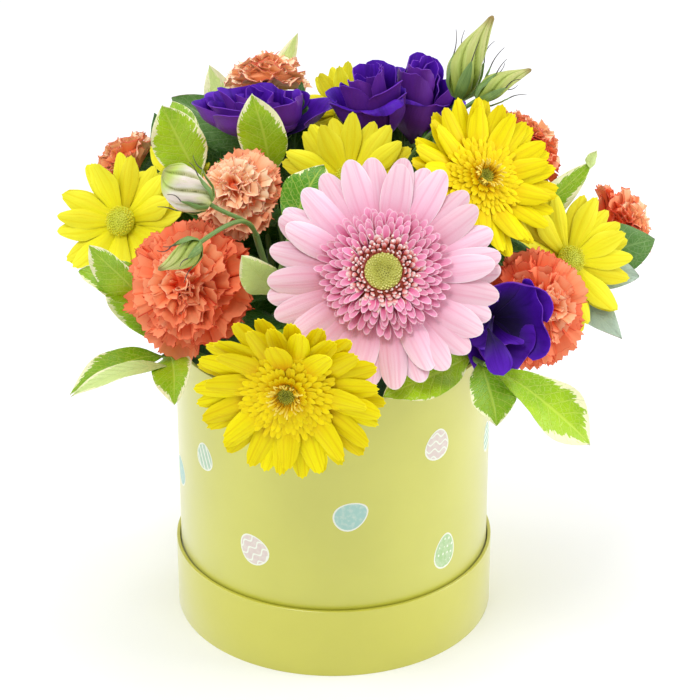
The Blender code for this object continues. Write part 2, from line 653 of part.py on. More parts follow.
def add_foam(places):
    """Round block of foam with a plain hole for each stem."""
    bm = bmesh.new()
    hub(bm, FOAM_SIDES, FOAM_RADIUS, FOAM_BASE, FOAM_TOP)
    foam = add_object("floral_foam", bm, FOAM_GREEN, 0.95, smooth=30)
    group = bpy.data.collections.new("stem_holes")
    bpy.context.scene.collection.children.link(group)
    for (x, y), radius in places:
        cutter_mesh = bmesh.new()
        wide = (radius + GAP) / math.cos(math.pi / HOLE_SIDES)
        ends = [mm(x, y, FOAM_TOP - STEM_DEPTH - GAP), mm(x, y, BODY_RIM_HEIGHT)]
        tube(cutter_mesh, ends, [wide, wide], sides=HOLE_SIDES)
        bmesh.ops.recalc_face_normals(cutter_mesh, faces=cutter_mesh.faces[:])
        mesh = bpy.data.meshes.new("stem_hole")
        cutter_mesh.to_mesh(mesh)
        cutter_mesh.free()
        cutter = bpy.data.objects.new("stem_hole", mesh)
        cutter.hide_render = True
        cutter.display_type = "WIRE"
        group.objects.link(cutter)
    holes = foam.modifiers.new("stem_holes", "BOOLEAN")
    holes.operation = "DIFFERENCE"
    holes.operand_type = "COLLECTION"
    holes.collection = group
    holes.solver = "EXACT"


def add_holder():
    """Lid, box and liner."""
    turned_cup("lid", LID_RADIUS, 0, LID_HEIGHT, CARD, CARD, HOLDER_SIDES, LID_YELLOW, 0.7)
    turned_cup("box_body", BODY_RADIUS, BODY_BASE, BODY_RIM_HEIGHT, CARD, CARD, HOLDER_SIDES,
               BODY_YELLOW, 0.7)
    turned_cup("liner", LINER_RADIUS, LINER_BASE, LINER_RIM_HEIGHT, LINER_FILM, LINER_FILM, FOAM_SIDES,
               FILM_GREY, 0.4)


def add_flowers():
    """Every bloom. Repeated kinds are made by loops."""
    pink, front, right = (GERBERAS[name] for name in ("gerbera_pink", "gerbera_front", "gerbera_right"))
    ray_bloom("gerbera_pink", pink, 28, 13.0, 11.4, GERBERA_RAY, PINK, cup=6)
    gerbera_disc("gerbera_pink", pink, 18, 12.5, 31, DEEP_PINK)
    ray_bloom("gerbera_front", front, 26, 11.0, 9.8, PLAIN_RAY, YELLOW, cup=5, fold=9)
    gerbera_disc("gerbera_front", front, 14, 10.5, 23, GOLD)
    ray_bloom("gerbera_right", right, 24, 9.0, 9.2, PLAIN_RAY, YELLOW, cup=8)
    gerbera_disc("gerbera_right", right, 14, 8.5, 19, GOLD)
    for name, bloom in DAISIES.items():
        ray_bloom(name, bloom, DAISY_RAYS, DAISY_HUB_RADIUS, DAISY_RAY_WIDTH, PLAIN_RAY, LEMON, cup=5)
        daisy_disc(name, bloom)
    for name, bloom in CARNATIONS.items():
        if bloom.radius >= FULL_CARNATION:
            carnation(name, bloom, 16, FRILLS)
        else:
            carnation(name, bloom, 12, FRILLS[:3])
    for name, cup in LISIANTHUS.items():
        lisianthus(name, cup)


def clear_scene():
    """Start from an empty scene."""
    for item in list(bpy.data.objects):
        bpy.data.objects.remove(item)


def main():
    """Build every sub-part."""
    clear_scene()
    add_holder()
    add_flowers()
    table = all_blooms()
    for name, stem in STEMS.items():
        add_stem(name, stem, table)
    for name, sprig in SPRIGS.items():
        add_sprig(name, sprig)
    places = [(stem.place, stem.radius) for stem in STEMS.values()]
    places += [(sprig.place, sprig.radius) for sprig in SPRIGS.values()]
    add_foam(places)


main()
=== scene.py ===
"""Looks of the flower hat box: fresh flowers in a round paper-covered box that stands in its lid.

Sizes are in millimetres, as in the part's own source, and become metres when a piece is made. The
front of the arrangement looks along -Y, and a bloom's own +Z is its face.
"""
import math
from collections import namedtuple

import bmesh
import bpy
import numpy as np
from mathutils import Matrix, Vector
from mathutils.geometry import interpolate_bezier


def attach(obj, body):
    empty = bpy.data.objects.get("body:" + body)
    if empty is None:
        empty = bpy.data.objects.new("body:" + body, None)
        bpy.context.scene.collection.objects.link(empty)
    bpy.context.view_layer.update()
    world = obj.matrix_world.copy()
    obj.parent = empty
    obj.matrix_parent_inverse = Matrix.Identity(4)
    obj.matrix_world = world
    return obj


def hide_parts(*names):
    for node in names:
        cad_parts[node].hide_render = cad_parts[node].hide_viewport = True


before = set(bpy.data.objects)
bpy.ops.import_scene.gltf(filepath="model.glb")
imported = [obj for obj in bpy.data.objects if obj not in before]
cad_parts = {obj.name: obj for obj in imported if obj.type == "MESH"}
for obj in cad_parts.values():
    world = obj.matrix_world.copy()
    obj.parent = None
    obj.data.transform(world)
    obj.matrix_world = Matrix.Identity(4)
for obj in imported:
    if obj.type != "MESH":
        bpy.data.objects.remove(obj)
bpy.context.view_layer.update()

MM = 0.001
UP = Vector((0, 0, 1))

# Every kind of piece has its own random numbers: SEED with a number that counts on from its kind's
# first one. A stem's leaves have their stem's number and LEAF_SEEDS more.
SEED = 7
PINK_SEED, GERBERA_SEEDS, DAISY_SEEDS, CARNATION_SEEDS = 1, 2, 20, 40
LISIANTHUS_SEEDS, STEM_SEEDS, SPRIG_SEEDS, LEAF_SEEDS = 60, 80, 120, 500

# Thickness of leaves and broad petals, of small florets and of carnation petals. A blade's rim is
# thinner than its middle, by a share.
BLADE, FLORET_BLADE, CARNATION_BLADE = 0.5, 0.4, 0.3
RIM_SHARE = 0.25

# Holder. The stems reach down into the foam by their depth.
BODY_RADIUS = 80.0
BODY_BASE = 2.1
BODY_RIM = 155.0
LID_RADIUS = 82.4
LID_RIM = 38.0
CARD = 1.8
FOAM_TOP = 147.0
STEM_DEPTH = 30.0

# A bloom's head is the place of its hub. Azimuth turns from the front (-Y) towards +X, and elevation
# rises from level, both in degrees.
Bloom = namedtuple("Bloom", "head azimuth elevation radius")
GERBERAS = {
    "gerbera_pink": Bloom((24, -77, 221), 0, 36, 57),
    "gerbera_front": Bloom((-20, -122, 182), -10, 0, 46),
    "gerbera_right": Bloom((73, -14, 243), 32, 38, 40),
}
DAISIES = {
    "daisy_left": Bloom((-105, 2, 213), -22, 32, 35),
    "daisy_left_rear": Bloom((-82, 38, 221), -48, 50, 26),
    "daisy_top": Bloom((8, -8, 239), -2, 38, 35),
    "daisy_top_rear": Bloom((7, 68, 246), 10, 44, 26),
    "daisy_right": Bloom((120, 19, 184), 30, 28, 37),
    "daisy_back": Bloom((62, 98, 198), 148, 26, 33),
}
CARNATIONS = {
    "carnation_left": Bloom((-67, -58, 206), -25, 28, 33),
    "carnation_upper": Bloom((-46, -21, 238), -20, 50, 23),
    "carnation_right": Bloom((100, -33, 183), 30, 20, 30),
    "carnation_top_rear": Bloom((-35, 89, 256), -170, 62, 23),
    "carnation_rear_left": Bloom((-108, 78, 211), -120, 30, 23),
    "carnation_rear_right": Bloom((97, 58, 231), 118, 44, 25),
    "carnation_far_right": Bloom((152, 79, 176), 84, 22, 25),
    "carnation_back": Bloom((-22, 112, 200), -170, 24, 26),
}
# A lisianthus's head is the foot of its cup, with the rim's radius and the cup's depth
Cup = namedtuple("Cup", "head azimuth elevation flare depth")
LISIANTHUS = {
    "lisianthus_left": Cup((-35, 38, 241), -170, 82, 28, 24),
    "lisianthus_top": Cup((24, 36, 240), -90, 80, 17, 38),
    "lisianthus_top_rear": Cup((40, 58, 232), 75, 80, 17, 40),
    "lisianthus_low": Cup((76, -58, 189), 24, 20, 20, 22),
    "lisianthus_back": Cup((-62, 96, 204), -150, 36, 24, 30),
}
Bud = namedtuple("Bud", "foot tip radius")
TOP_BUDS = (Bud((62, 26, 269), (77, 36, 309), 9.5), Bud((71, 16, 272), (97, 24, 286), 6.5))
LEFT_BUDS = (Bud((-57, -60, 249), (-79, -56, 264), 10.0), Bud((-61, -84, 240), (-79, -96, 231), 6.5))
# The full bud with pale petals
PALE_BUD = LEFT_BUDS[0]

# A leaf leaves its stem at a share of the way along, and runs to its tip. Face is the way its upper
# side looks, as azimuth and elevation, and arch is its hump as a share of its length. Age goes from 0,
# young and pale, to 1, old and dark, and chance picks it where none is given. A swell above 1 makes a
# leaf widest nearer its tip, and a turned leaf shows its pale underside. Skin is its material on a
# flower's stem, while the leaves of a sprig all have the sprig's own.
Leaf = namedtuple("Leaf", "share tip width face arch age swell turned skin",
                  defaults=(None, 1.05, False, "deep_leaf"))
Stem = namedtuple("Stem", "place radius fork blooms buds leaves")
STEMS = {
    "gerbera_pink_stem": Stem((12, -34), 2.6, None, ["gerbera_pink"], (), (
        Leaf(0.40, (46, -26, 192), 22, (60, 60), 0.10),)),
    "gerbera_front_stem": Stem((-8, -58), 2.4, None, ["gerbera_front"], (), ()),
    "gerbera_right_stem": Stem((38, -8), 2.4, None, ["gerbera_right"], (), (
        Leaf(0.30, (72, 4, 192), 22, (90, 60), 0.10),)),
    "daisy_left_stem": Stem((-52, 8), 1.9, (-66, 12, 182), ["daisy_left", "daisy_left_rear"], (), (
        Leaf(0.80, (-112, 32, 178), 24, (-90, 50), 0.12),)),
    "daisy_top_stem": Stem((0, 12), 1.9, (0, 18, 190), ["daisy_top", "daisy_top_rear"], (), (
        Leaf(0.80, (10, -24, 200), 22, (0, 60), 0.10),
        Leaf(0.55, (-8, 54, 186), 22, (180, 60), 0.10))),
    "daisy_right_stem": Stem((62, -12), 1.7, None, ["daisy_right"], (), ()),
    "daisy_back_stem": Stem((34, 54), 1.7, None, ["daisy_back"], (), (
        Leaf(0.45, (84, 82, 166), 22, (150, 50), 0.12),
        Leaf(0.60, (34, 80, 230), 22, (170, 30), 0.08))),
    "carnation_left_stem": Stem((-38, -34), 2.0, None, ["carnation_left"], (), (
        Leaf(0.35, (-26, -70, 176), 22, (10, 60), 0.10),)),
    "carnation_right_stem": Stem((56, -36), 2.0, None, ["carnation_right"], (), (
        Leaf(0.25, (84, -14, 172), 22, (70, 60), 0.10),)),
    "carnation_spray_left_stem": Stem((-30, 26), 2.0, (-38, 32, 184), [
        "carnation_upper", "carnation_top_rear", "carnation_rear_left"], (), (
            Leaf(0.60, (-58, 62, 190), 22, (-140, 60), 0.10),)),
    "carnation_spray_right_stem": Stem((62, 20), 2.0, (72, 24, 180), [
        "carnation_rear_right", "carnation_far_right"], (), (
            Leaf(0.90, (104, 78, 190), 20, (140, 50), 0.10),
            Leaf(0.98, (132, 48, 226), 19, (30, 20), 0.03, age=0.5, skin="variegated_leaf"))),
    "carnation_back_stem": Stem((-8, 62), 2.0, None, ["carnation_back"], (), (
        Leaf(0.40, (-52, 112, 168), 18, (-170, 50), 0.12),)),
    "lisianthus_left_stem": Stem((-26, 8), 1.8, (-32, 16, 190), ["lisianthus_left"], (), (
        Leaf(0.70, (-62, -8, 200), 22, (-70, 60), 0.10),)),
    "lisianthus_top_stem": Stem((24, 26), 1.9, (26, 30, 188), [
        "lisianthus_top", "lisianthus_top_rear"], TOP_BUDS, (
            Leaf(0.85, (58, 46, 208), 22, (120, 60), 0.10),)),
    "lisianthus_low_stem": Stem((34, -52), 1.8, None, ["lisianthus_low"], (), ()),
    "lisianthus_back_stem": Stem((-38, 54), 1.8, None, ["lisianthus_back"], (), (
        Leaf(0.45, (-90, 98, 172), 24, (-150, 50), 0.12),
        Leaf(0.60, (-44, 96, 232), 24, (-175, 30), 0.10))),
    "lisianthus_bud_stem": Stem((-22, -22), 1.6, (-36, -50, 228), [], LEFT_BUDS, ()),
}
Sprig = namedtuple("Sprig", "place via radius leaves")
SPRIGS = {
    "foliage_low_left": Sprig((-52, -26), ((-72, -42, 163), (-82, -52, 165)), 1.4, (
        Leaf(0.98, (-125, -80, 159), 18, (-30, 60), 0.16, age=0.55),
        Leaf(0.84, (-74, -98, 163), 20, (-20, 55), 0.10, age=0.3),
        Leaf(0.66, (-114, -5, 178), 19, (-90, 50), 0.12))),
    "foliage_left": Sprig((-60, -10), ((-80, -24, 176), (-90, -34, 186)), 1.3, (
        Leaf(0.98, (-117, -38, 218), 22, (-60, 40), 0.10, age=0.2),
        Leaf(0.80, (-124, -26, 199), 24, (-60, 60), 0.12, age=0.5))),
    "foliage_upper_left": Sprig((-50, 28), ((-62, 18, 214), (-66, 4, 236)), 1.3, (
        Leaf(0.98, (-83, 8, 272), 27, (-10, 20), 0.06, age=0.1),
        Leaf(0.80, (-82, 60, 254), 18, (-40, 50), 0.10))),
    "foliage_top": Sprig((-14, -4), ((-27, 6, 212), (-30, 4, 238)), 1.3, (
        Leaf(0.98, (-39, 5, 279), 25, (-12, 10), 0.06, age=0.2),
        Leaf(0.70, (-58, 34, 232), 20, (-60, 40), 0.10))),
    "foliage_front": Sprig((-10, -38), ((-20, -60, 184), (-26, -66, 206), (-20, -52, 230)), 1.3, (
        Leaf(0.98, (-4, -20, 252), 22, (0, 50), 0.12, age=1.0),
        Leaf(0.66, (-42, -77, 230), 18, (-10, 20), 0.08, age=0.0, turned=True),
        Leaf(0.34, (-50, -98, 170), 20, (-20, 50), 0.10))),
    "foliage_low_right": Sprig((42, -50), ((60, -74, 176), (72, -86, 178)), 1.4, (
        Leaf(0.98, (121, -108, 147), 28, (14, 56), 0.10, age=0.15, swell=1.7),
        Leaf(0.90, (77, -106, 156), 24, (25, 40), 0.08, age=0.55),
        Leaf(0.70, (24, -104, 170), 24, (0, 50), 0.10, age=0.15))),
    "foliage_right": Sprig((58, 10), ((94, 29, 173), (120, 38, 168)), 1.4, (
        Leaf(0.98, (167, 54, 180), 28, (10, 30), 0.08),
        Leaf(0.90, (158, 38, 166), 22, (20, 40), 0.10, turned=True),
        Leaf(0.72, (147, 6, 146), 20, (20, 50), 0.03, turned=True))),
    "foliage_rear": Sprig((16, 66), ((24, 92, 186), (26, 104, 200)), 1.4, (
        Leaf(0.98, (22, 132, 226), 24, (180, 40), 0.08),
        Leaf(0.80, (2, 134, 178), 22, (180, 50), 0.10),
        Leaf(0.62, (44, 122, 172), 22, (170, 50), 0.10))),
}
DULL_SPRIGS = ("foliage_right", "foliage_rear")
# Folded edges and curled tips that show a leaf's pale underside, each with its root
FOLDED_EDGES = {
    "foliage_low_left": (
        ((-78, -66, 167), Leaf(0, (-124, -84, 160), 10, (-30, 60), 0.17, turned=True)),),
    "carnation_spray_right_stem": (
        ((131, 46, 223), Leaf(0, (134, 48, 232), 7, (200, 20), 0.12, 0.0, 0.9,
                              skin="variegated_leaf")),),
}


# Camera, lights and floor

# In metres, with the elevation in degrees and the lens in mm
VIEW_TARGET = Vector((0.0085, 0, 0.1426))
VIEW_ELEVATION = 26.63
VIEW_DISTANCE = 1.3
VIEW_LENS = 131.66
FLOOR_SIZE = 12
FAR_END = 20
# Strength of the white world's light
TENT_LIGHT = 0.66
# Square soft boxes: place and size in metres, and power
SOFT_BOXES = {
    "key_light": ((-0.5, -0.8, 1.7), 0.6, 11),
    "left_light": ((-1.4, 0.1, 0.7), 1.0, 4.8),
    "right_light": ((1.4, 0.0, 0.7), 1.0, 10.5),
    "top_light": ((0.2, 0.6, 1.6), 0.9, 7),
}


def set_camera():
    """Camera at the photograph's viewing angle."""
    rise = math.radians(VIEW_ELEVATION)
    back = Vector((0, -math.cos(rise), math.sin(rise)))
    camera = bpy.data.objects.new("view_camera", bpy.data.cameras.new("view_camera"))
    camera.data.lens = VIEW_LENS
    camera.data.clip_end = FAR_END
    camera.location = VIEW_TARGET + back * VIEW_DISTANCE
    camera.rotation_euler = (-back).to_track_quat("-Z", "Y").to_euler()
    bpy.context.scene.collection.objects.link(camera)
    bpy.context.scene.camera = camera


def set_lights():
    """White tent with a soft key from above the camera, a light at each side and one on top."""
    world = bpy.data.worlds.new("white_tent")
    world.use_nodes = True
    background = world.node_tree.nodes["Background"]
    background.inputs["Color"].default_value = (1, 1, 1, 1)
    background.inputs["Strength"].default_value = TENT_LIGHT
    bpy.context.scene.world = world
    for name, (place, size, power) in SOFT_BOXES.items():
        lamp = bpy.data.lights.new(name, "AREA")
        lamp.size = size
        lamp.energy = power
        box = bpy.data.objects.new(name, lamp)
        box.location = place
        box.rotation_euler = (Vector(place) - VIEW_TARGET).to_track_quat("Z", "Y").to_euler()
        bpy.context.scene.collection.objects.link(box)
    bpy.context.scene.view_settings.view_transform = "Standard"


def lay_floor(material):
    """Large plain pale floor."""
    bpy.ops.object.select_all(action="DESELECT")
    bpy.ops.mesh.primitive_plane_add(size=FLOOR_SIZE)
    floor = bpy.context.object
    floor.name = "floor"
    floor.data.materials.append(material)


# Materials

# Places of a Mix node's colour sockets: its share, its two colours and its result
MIX_SHARE, MIX_UNDER, MIX_OVER, MIX_RESULT = 0, 6, 7, 2


def light(colour):
    """A colour as seen, 0 to 255, turned into light by the sRGB curve."""
    parts = [value / 255 for value in colour]
    lit = [c / 12.92 if c <= 0.04045 else ((c + 0.055) / 1.055) ** 2.4 for c in parts]
    return (*lit, 1)


def put(tree, kind, wires=None, **settings):
    """Add a node, and set or link its inputs."""
    node = tree.nodes.new("ShaderNode" + kind)
    for name, value in settings.items():
        setattr(node, name, value)
    for name, value in (wires or {}).items():
        if isinstance(value, bpy.types.NodeSocket):
            tree.links.new(value, node.inputs[name])
        else:
            node.inputs[name].default_value = value
    return node


def blend(tree, share, under, over, mode="MIX"):
    """Lay one colour over another by a share or a mask."""
    colours = [light(c) if isinstance(c, tuple) else c for c in (under, over)]
    node = put(tree, "Mix", {MIX_SHARE: share, MIX_UNDER: colours[0], MIX_OVER: colours[1]},
               data_type="RGBA", blend_type=mode)
    return node.outputs[MIX_RESULT]


def calc(tree, operation, first, second=0.0):
    """One step of arithmetic."""
    return put(tree, "Math", {0: first, 1: second}, operation=operation).outputs[0]


def times(tree, first, second):
    """Product of two values."""
    return calc(tree, "MULTIPLY", first, second)


def plus(tree, first, second):
    """Sum of two values."""
    return calc(tree, "ADD", first, second)


def minus(tree, first, second):
    """Difference of two values."""
    return calc(tree, "SUBTRACT", first, second)


def band(tree, value, low, high, start=0.0, end=1.0):
    """Mask that rises softly from one value to another."""
    node = put(tree, "MapRange", {"Value": value, "From Min": low, "From Max": high,
                                  "To Min": start, "To Max": end}, interpolation_type="SMOOTHSTEP")
    return node.outputs["Result"]


def shades(tree, value, stops):
    """Colours along a value."""
    node = put(tree, "ValToRGB", {"Fac": value})
    bar = node.color_ramp.elements
    bar[0].position, bar[0].color = stops[0][0], light(stops[0][1])
    bar[1].position, bar[1].color = stops[-1][0], light(stops[-1][1])
    for place, colour in stops[1:-1]:
        bar.new(place).color = light(colour)
    return node.outputs["Color"]


def grain(tree, vector, scale, detail=2.0, roughness=0.5):
    """Soft noise."""
    noise = put(tree, "TexNoise", {"Vector": vector, "Scale": scale, "Detail": detail,
                                   "Roughness": roughness})
    return noise.outputs["Fac"]


def uneven(tree, value, middle, spread):
    """Roughness that a pattern moves to both sides of its middle value."""
    return plus(tree, times(tree, value, spread), middle - spread / 2)


def own_places(tree):
    """Places on the piece, in metres."""
    return put(tree, "TexCoord").outputs["Object"]


def kept_value(tree, name):
    """Value that the mesh keeps at each point: a petal's tone, or whether it is the upper side."""
    return put(tree, "Attribute", attribute_name=name).outputs["Fac"]


def flat_places(tree):
    """Flat places on a petal, and how far across and along it they are."""
    flat = put(tree, "UVMap", uv_map="UVMap").outputs["UV"]
    axes = put(tree, "SeparateXYZ", {0: flat})
    return flat, axes.outputs["X"], axes.outputs["Y"]


def from_midrib(tree, across):
    """Distance from a petal's middle line, which is 0, to its sides, which are 1."""
    return calc(tree, "ABSOLUTE", minus(tree, times(tree, across, 2.0), 1.0))


def open_group(name, inputs):
    """New shader group with float inputs, and the sockets that hand them in."""
    group = bpy.data.node_groups.new(name, "ShaderNodeTree")
    for socket, value in inputs.items():
        made = group.interface.new_socket(name=socket, in_out="INPUT", socket_type="NodeSocketFloat")
        made.default_value = value
    return group, group.nodes.new("NodeGroupInput").outputs


def close_group(group, **results):
    """Give a shader group its float outputs."""
    for name in results:
        group.interface.new_socket(name=name, in_out="OUTPUT", socket_type="NodeSocketFloat")
    leave = group.nodes.new("NodeGroupOutput")
    for name, socket in results.items():
        group.links.new(socket, leave.inputs[name])
    return group


# A petal's two creases: their distance from its middle line, and half their width
CREASE_PLACE, CREASE_WIDTH = 0.36, 0.14
PETAL_SKIN_SCALE = 1400.0
PETAL_SKIN_SHARE = 0.35
# How far apart the streaks of two petals lie in the noise that they are cut from
STREAK_SHIFT = 50.0


def petal_grain_group():
    """Streaks and creases along a petal, its margin, its tone and its fine skin."""
    group, given = open_group("petal_grain", {"Streaks": 16.0, "Stretch": 1.5, "Margin Width": 0.1,
                                              "Aspect": 5.0})
    across, along = flat_places(group)[1:]
    tone = kept_value(group, "tone")
    place = put(group, "CombineXYZ", {
        "X": times(group, across, given["Streaks"]), "Y": times(group, along, given["Stretch"]),
        "Z": times(group, tone, STREAK_SHIFT)})
    streak = grain(group, place.outputs["Vector"], 1.0, 3.0, 0.6)
    side = from_midrib(group, across)
    from_crease = calc(group, "ABSOLUTE", minus(group, side, CREASE_PLACE))
    crease = band(group, from_crease, CREASE_WIDTH, 0.0)
    from_tip = times(group, minus(group, 1.0, along), given["Aspect"])
    edge = calc(group, "MAXIMUM", side, minus(group, 1.0, from_tip))
    margin = band(group, edge, minus(group, 1.0, given["Margin Width"]), 1.0)
    skin = grain(group, own_places(group), PETAL_SKIN_SCALE)
    height = plus(group, streak, times(group, skin, PETAL_SKIN_SHARE))
    return close_group(group, Along=along, Streak=streak, Crease=crease, Margin=margin, Tone=tone,
                       Upper=kept_value(group, "upper"), Height=height)


def paper_grain_group():
    """Fibres and faint mottling of covering paper."""
    group, given = open_group("paper_grain", {"Fibre Scale": 900.0, "Mottle Scale": 40.0})
    place = own_places(group)
    fibre = grain(group, place, given["Fibre Scale"], 4.0, 0.65)
    mottle = grain(group, place, given["Mottle Scale"], 3.0)
    height = plus(group, fibre, times(group, mottle, 1.5))
    return close_group(group, Fibre=fibre, Mottle=mottle, Height=height)


# Scales of the patterns on a leaf, in cells a metre
NET_SCALE, WANDER_SCALE, PATCH_SCALE, MOTTLE_SCALE = 420.0, 120.0, 42.0, 60.0
# How far a side vein runs up the leaf on its way out, and how far it wanders, as an angle
VEIN_SLANT, VEIN_WANDER = 0.22, 3.0
# How strongly the fine net shows beside the midrib and the side veins
NET_SHARE = 0.55
# Scales of the teeth between a leaf's green and its pale margin: out, along and from leaf to leaf
TEETH_OUT, TEETH_ALONG, TEETH_SHIFT = 2.5, 36.0, 7.0
# How much the broad patches count beside the teeth
PATCH_SHARE = 1.6


def leaf_vein_group():
    """Midrib, side veins and fine net of a leaf, with its ragged margin."""
    group, given = open_group("leaf_veins", {"Side Veins": 9.0, "Margin Start": 0.75,
                                             "Raggedness": 0.5})
    across, along = flat_places(group)[1:]
    tone = kept_value(group, "tone")
    place = own_places(group)
    side = from_midrib(group, across)
    rib = band(group, side, 0.09, 0.02)
    slant = minus(group, along, times(group, side, VEIN_SLANT))
    phase = times(group, slant, times(group, given["Side Veins"], math.tau))
    wander = times(group, grain(group, place, WANDER_SCALE), VEIN_WANDER)
    branch = band(group, calc(group, "SINE", plus(group, phase, wander)), 0.9, 1.0)
    cells = put(group, "TexVoronoi", {"Vector": place, "Scale": NET_SCALE}, feature="DISTANCE_TO_EDGE")
    fine = band(group, cells.outputs["Distance"], 0.10, 0.0, 0.0, NET_SHARE)
    vein = calc(group, "MAXIMUM", calc(group, "MAXIMUM", rib, branch), fine)
    comb = put(group, "CombineXYZ", {
        "X": times(group, side, TEETH_OUT), "Y": times(group, slant, TEETH_ALONG),
        "Z": times(group, across, TEETH_SHIFT)})
    teeth = minus(group, grain(group, comb.outputs["Vector"], 1.0), 0.5)
    patch = minus(group, grain(group, place, PATCH_SCALE), 0.5)
    ragged = times(group, plus(group, teeth, times(group, patch, PATCH_SHARE)), given["Raggedness"])
    tip = band(group, along, 0.3, 1.0, 0.0, 0.5)
    edge = plus(group, plus(group, side, ragged), tip)
    start = plus(group, given["Margin Start"], band(group, tone, 0.8, 1.0, 0.0, 0.3))
    margin = band(group, edge, start, plus(group, start, 0.08))
    mottle = grain(group, place, MOTTLE_SCALE, 3.0)
    height = minus(group, times(group, mottle, 0.4), vein)
    return close_group(group, Vein=vein, Margin=margin, Tone=tone, Upper=kept_value(group, "upper"),
                       Mottle=mottle, Height=height)


def new_material(name, roughness, **constants):
    """Material with its Principled shader, whose constant values are set on its own sockets."""
    material = bpy.data.materials.new(name)
    material.use_nodes = True
    shader = material.node_tree.nodes["Principled BSDF"]
    shader.inputs["Roughness"].default_value = roughness
    for socket, value in constants.items():
        shader.inputs[socket.replace("_", " ")].default_value = value
    return material, material.node_tree, shader


def paint(tree, shader, colour, height, depth, gloss=None):
    """Wire up a colour, a bump of at most the given depth in mm, and a roughness where it varies."""
    tree.links.new(colour, shader.inputs["Base Color"])
    if gloss is not None:
        tree.links.new(gloss, shader.inputs["Roughness"])
    bump = put(tree, "Bump", {"Height": height, "Strength": 1.0, "Distance": depth * MM})
    tree.links.new(bump.outputs["Normal"], shader.inputs["Normal"])


# Depths of the finest relief, in mm
PETAL_RELIEF, LEAF_RELIEF, STEM_RELIEF, BUTTON_RELIEF = 0.25, 0.18, 0.2, 0.15
PAPER_RELIEF, FOAM_RELIEF, FILM_RELIEF = 0.02, 0.4, 0.6


def petal_finish(name, grain_group, lengthwise, streak, edge, tones, veins, streak_share, edge_share,
                 margin, underside=None, roughness=0.5, aspect=5.0, crease_share=0.0, **constants):
    """Petal with colours along its length, streaks, a margin of its own and a tone for each petal."""
    material, tree, shader = new_material(name, roughness, **constants)
    look = put(tree, "Group", {"Streaks": veins, "Margin Width": margin, "Aspect": aspect},
               node_tree=grain_group).outputs
    colour = shades(tree, look["Along"], lengthwise)
    dark = times(tree, band(tree, look["Streak"], 0.45, 0.75), streak_share)
    colour = blend(tree, dark, colour, streak)
    # Painted shade: a ray's two creases get the darker streak colour
    if crease_share:
        colour = blend(tree, times(tree, look["Crease"], crease_share), colour, streak)
    if underside:
        below = minus(tree, 1.0, look["Upper"])
        colour = blend(tree, times(tree, below, 0.7), colour, underside)
    colour = blend(tree, times(tree, look["Margin"], edge_share), colour, edge)
    colour = blend(tree, 1.0, colour, shades(tree, look["Tone"], tones), "MULTIPLY")
    gloss = uneven(tree, look["Streak"], roughness, 0.16)
    paint(tree, shader, colour, look["Height"], PETAL_RELIEF, gloss)
    return material


def leaf_finish(name, vein_group, young, old, pale, margin_colour, margin_start, raggedness,
                underside, margin_share=1.0):
    """Leaf with veins, mottling, a ragged margin and a paler underside."""
    roughness = 0.32
    material, tree, shader = new_material(name, roughness, Specular_IOR_Level=0.35)
    look = put(tree, "Group", {"Margin Start": margin_start, "Raggedness": raggedness},
               node_tree=vein_group).outputs
    green = blend(tree, band(tree, look["Mottle"], 0.35, 0.65, 0.0, 0.35), young, old)
    green = blend(tree, times(tree, look["Tone"], 0.9), green, old)
    green = blend(tree, times(tree, look["Vein"], 0.4), green, pale)
    below = minus(tree, 1.0, look["Upper"])
    green = blend(tree, times(tree, below, 0.85), green, underside)
    colour = blend(tree, times(tree, look["Margin"], margin_share), green, margin_colour)
    gloss = uneven(tree, look["Mottle"], roughness, 0.2)
    paint(tree, shader, colour, look["Height"], LEAF_RELIEF, gloss)
    return material


def paper_finish(name, paper_group, face, shade):
    """Smooth covering paper over card."""
    roughness = 0.42
    material, tree, shader = new_material(
        name, roughness, Specular_IOR_Level=0.5, Coat_Weight=1.0, Coat_Roughness=0.3, Coat_IOR=1.7,
        Sheen_Weight=0.35, Sheen_Roughness=0.4)
    look = put(tree, "Group", node_tree=paper_group).outputs
    colour = blend(tree, band(tree, look["Mottle"], 0.35, 0.7, 0.0, 0.5), face, shade)
    colour = blend(tree, band(tree, look["Fibre"], 0.5, 0.8, 0.0, 0.25), colour, shade)
    gloss = uneven(tree, look["Fibre"], roughness, 0.18)
    paint(tree, shader, colour, look["Height"], PAPER_RELIEF, gloss)
    return material


def stem_finish(name, grain_group, young, old):
    """Stem with fine ribs along it, darker by a tone of its own."""
    material, tree, shader = new_material(name, 0.4)
    look = put(tree, "Group", {"Streaks": 14.0, "Stretch": 3.0}, node_tree=grain_group).outputs
    colour = blend(tree, band(tree, look["Streak"], 0.35, 0.7), young, old)
    colour = blend(tree, times(tree, look["Tone"], 0.4), colour, old)
    paint(tree, shader, colour, look["Height"], STEM_RELIEF)
    return material


def button_finish(name, specks, middle):
    """Little florets of a disc, coloured from its middle to its rim by their tone."""
    material, tree, shader = new_material(name, 0.55)
    speck = grain(tree, own_places(tree), 900.0, 3.0)
    colour = shades(tree, kept_value(tree, "tone"), middle)
    colour = blend(tree, band(tree, speck, 0.5, 0.75, 0.0, 0.5), colour, specks)
    paint(tree, shader, colour, speck, BUTTON_RELIEF)
    return material


def foam_finish():
    """Wet floral foam: fine pores in a dark green block."""
    material, tree, shader = new_material("wet_foam_pores", 0.8)
    place = own_places(tree)
    pores = put(tree, "TexVoronoi", {"Vector": place, "Scale": 1300.0}).outputs["Distance"]
    damp = grain(tree, place, 45.0, 3.0)
    colour = blend(tree, band(tree, damp, 0.35, 0.65), (46, 92, 52), (66, 116, 66))
    colour = blend(tree, band(tree, pores, 0.45, 0.1, 0.0, 0.6), colour, (24, 55, 32))
    paint(tree, shader, colour, pores, FOAM_RELIEF, band(tree, damp, 0.35, 0.65, 0.9, 0.65))
    return material


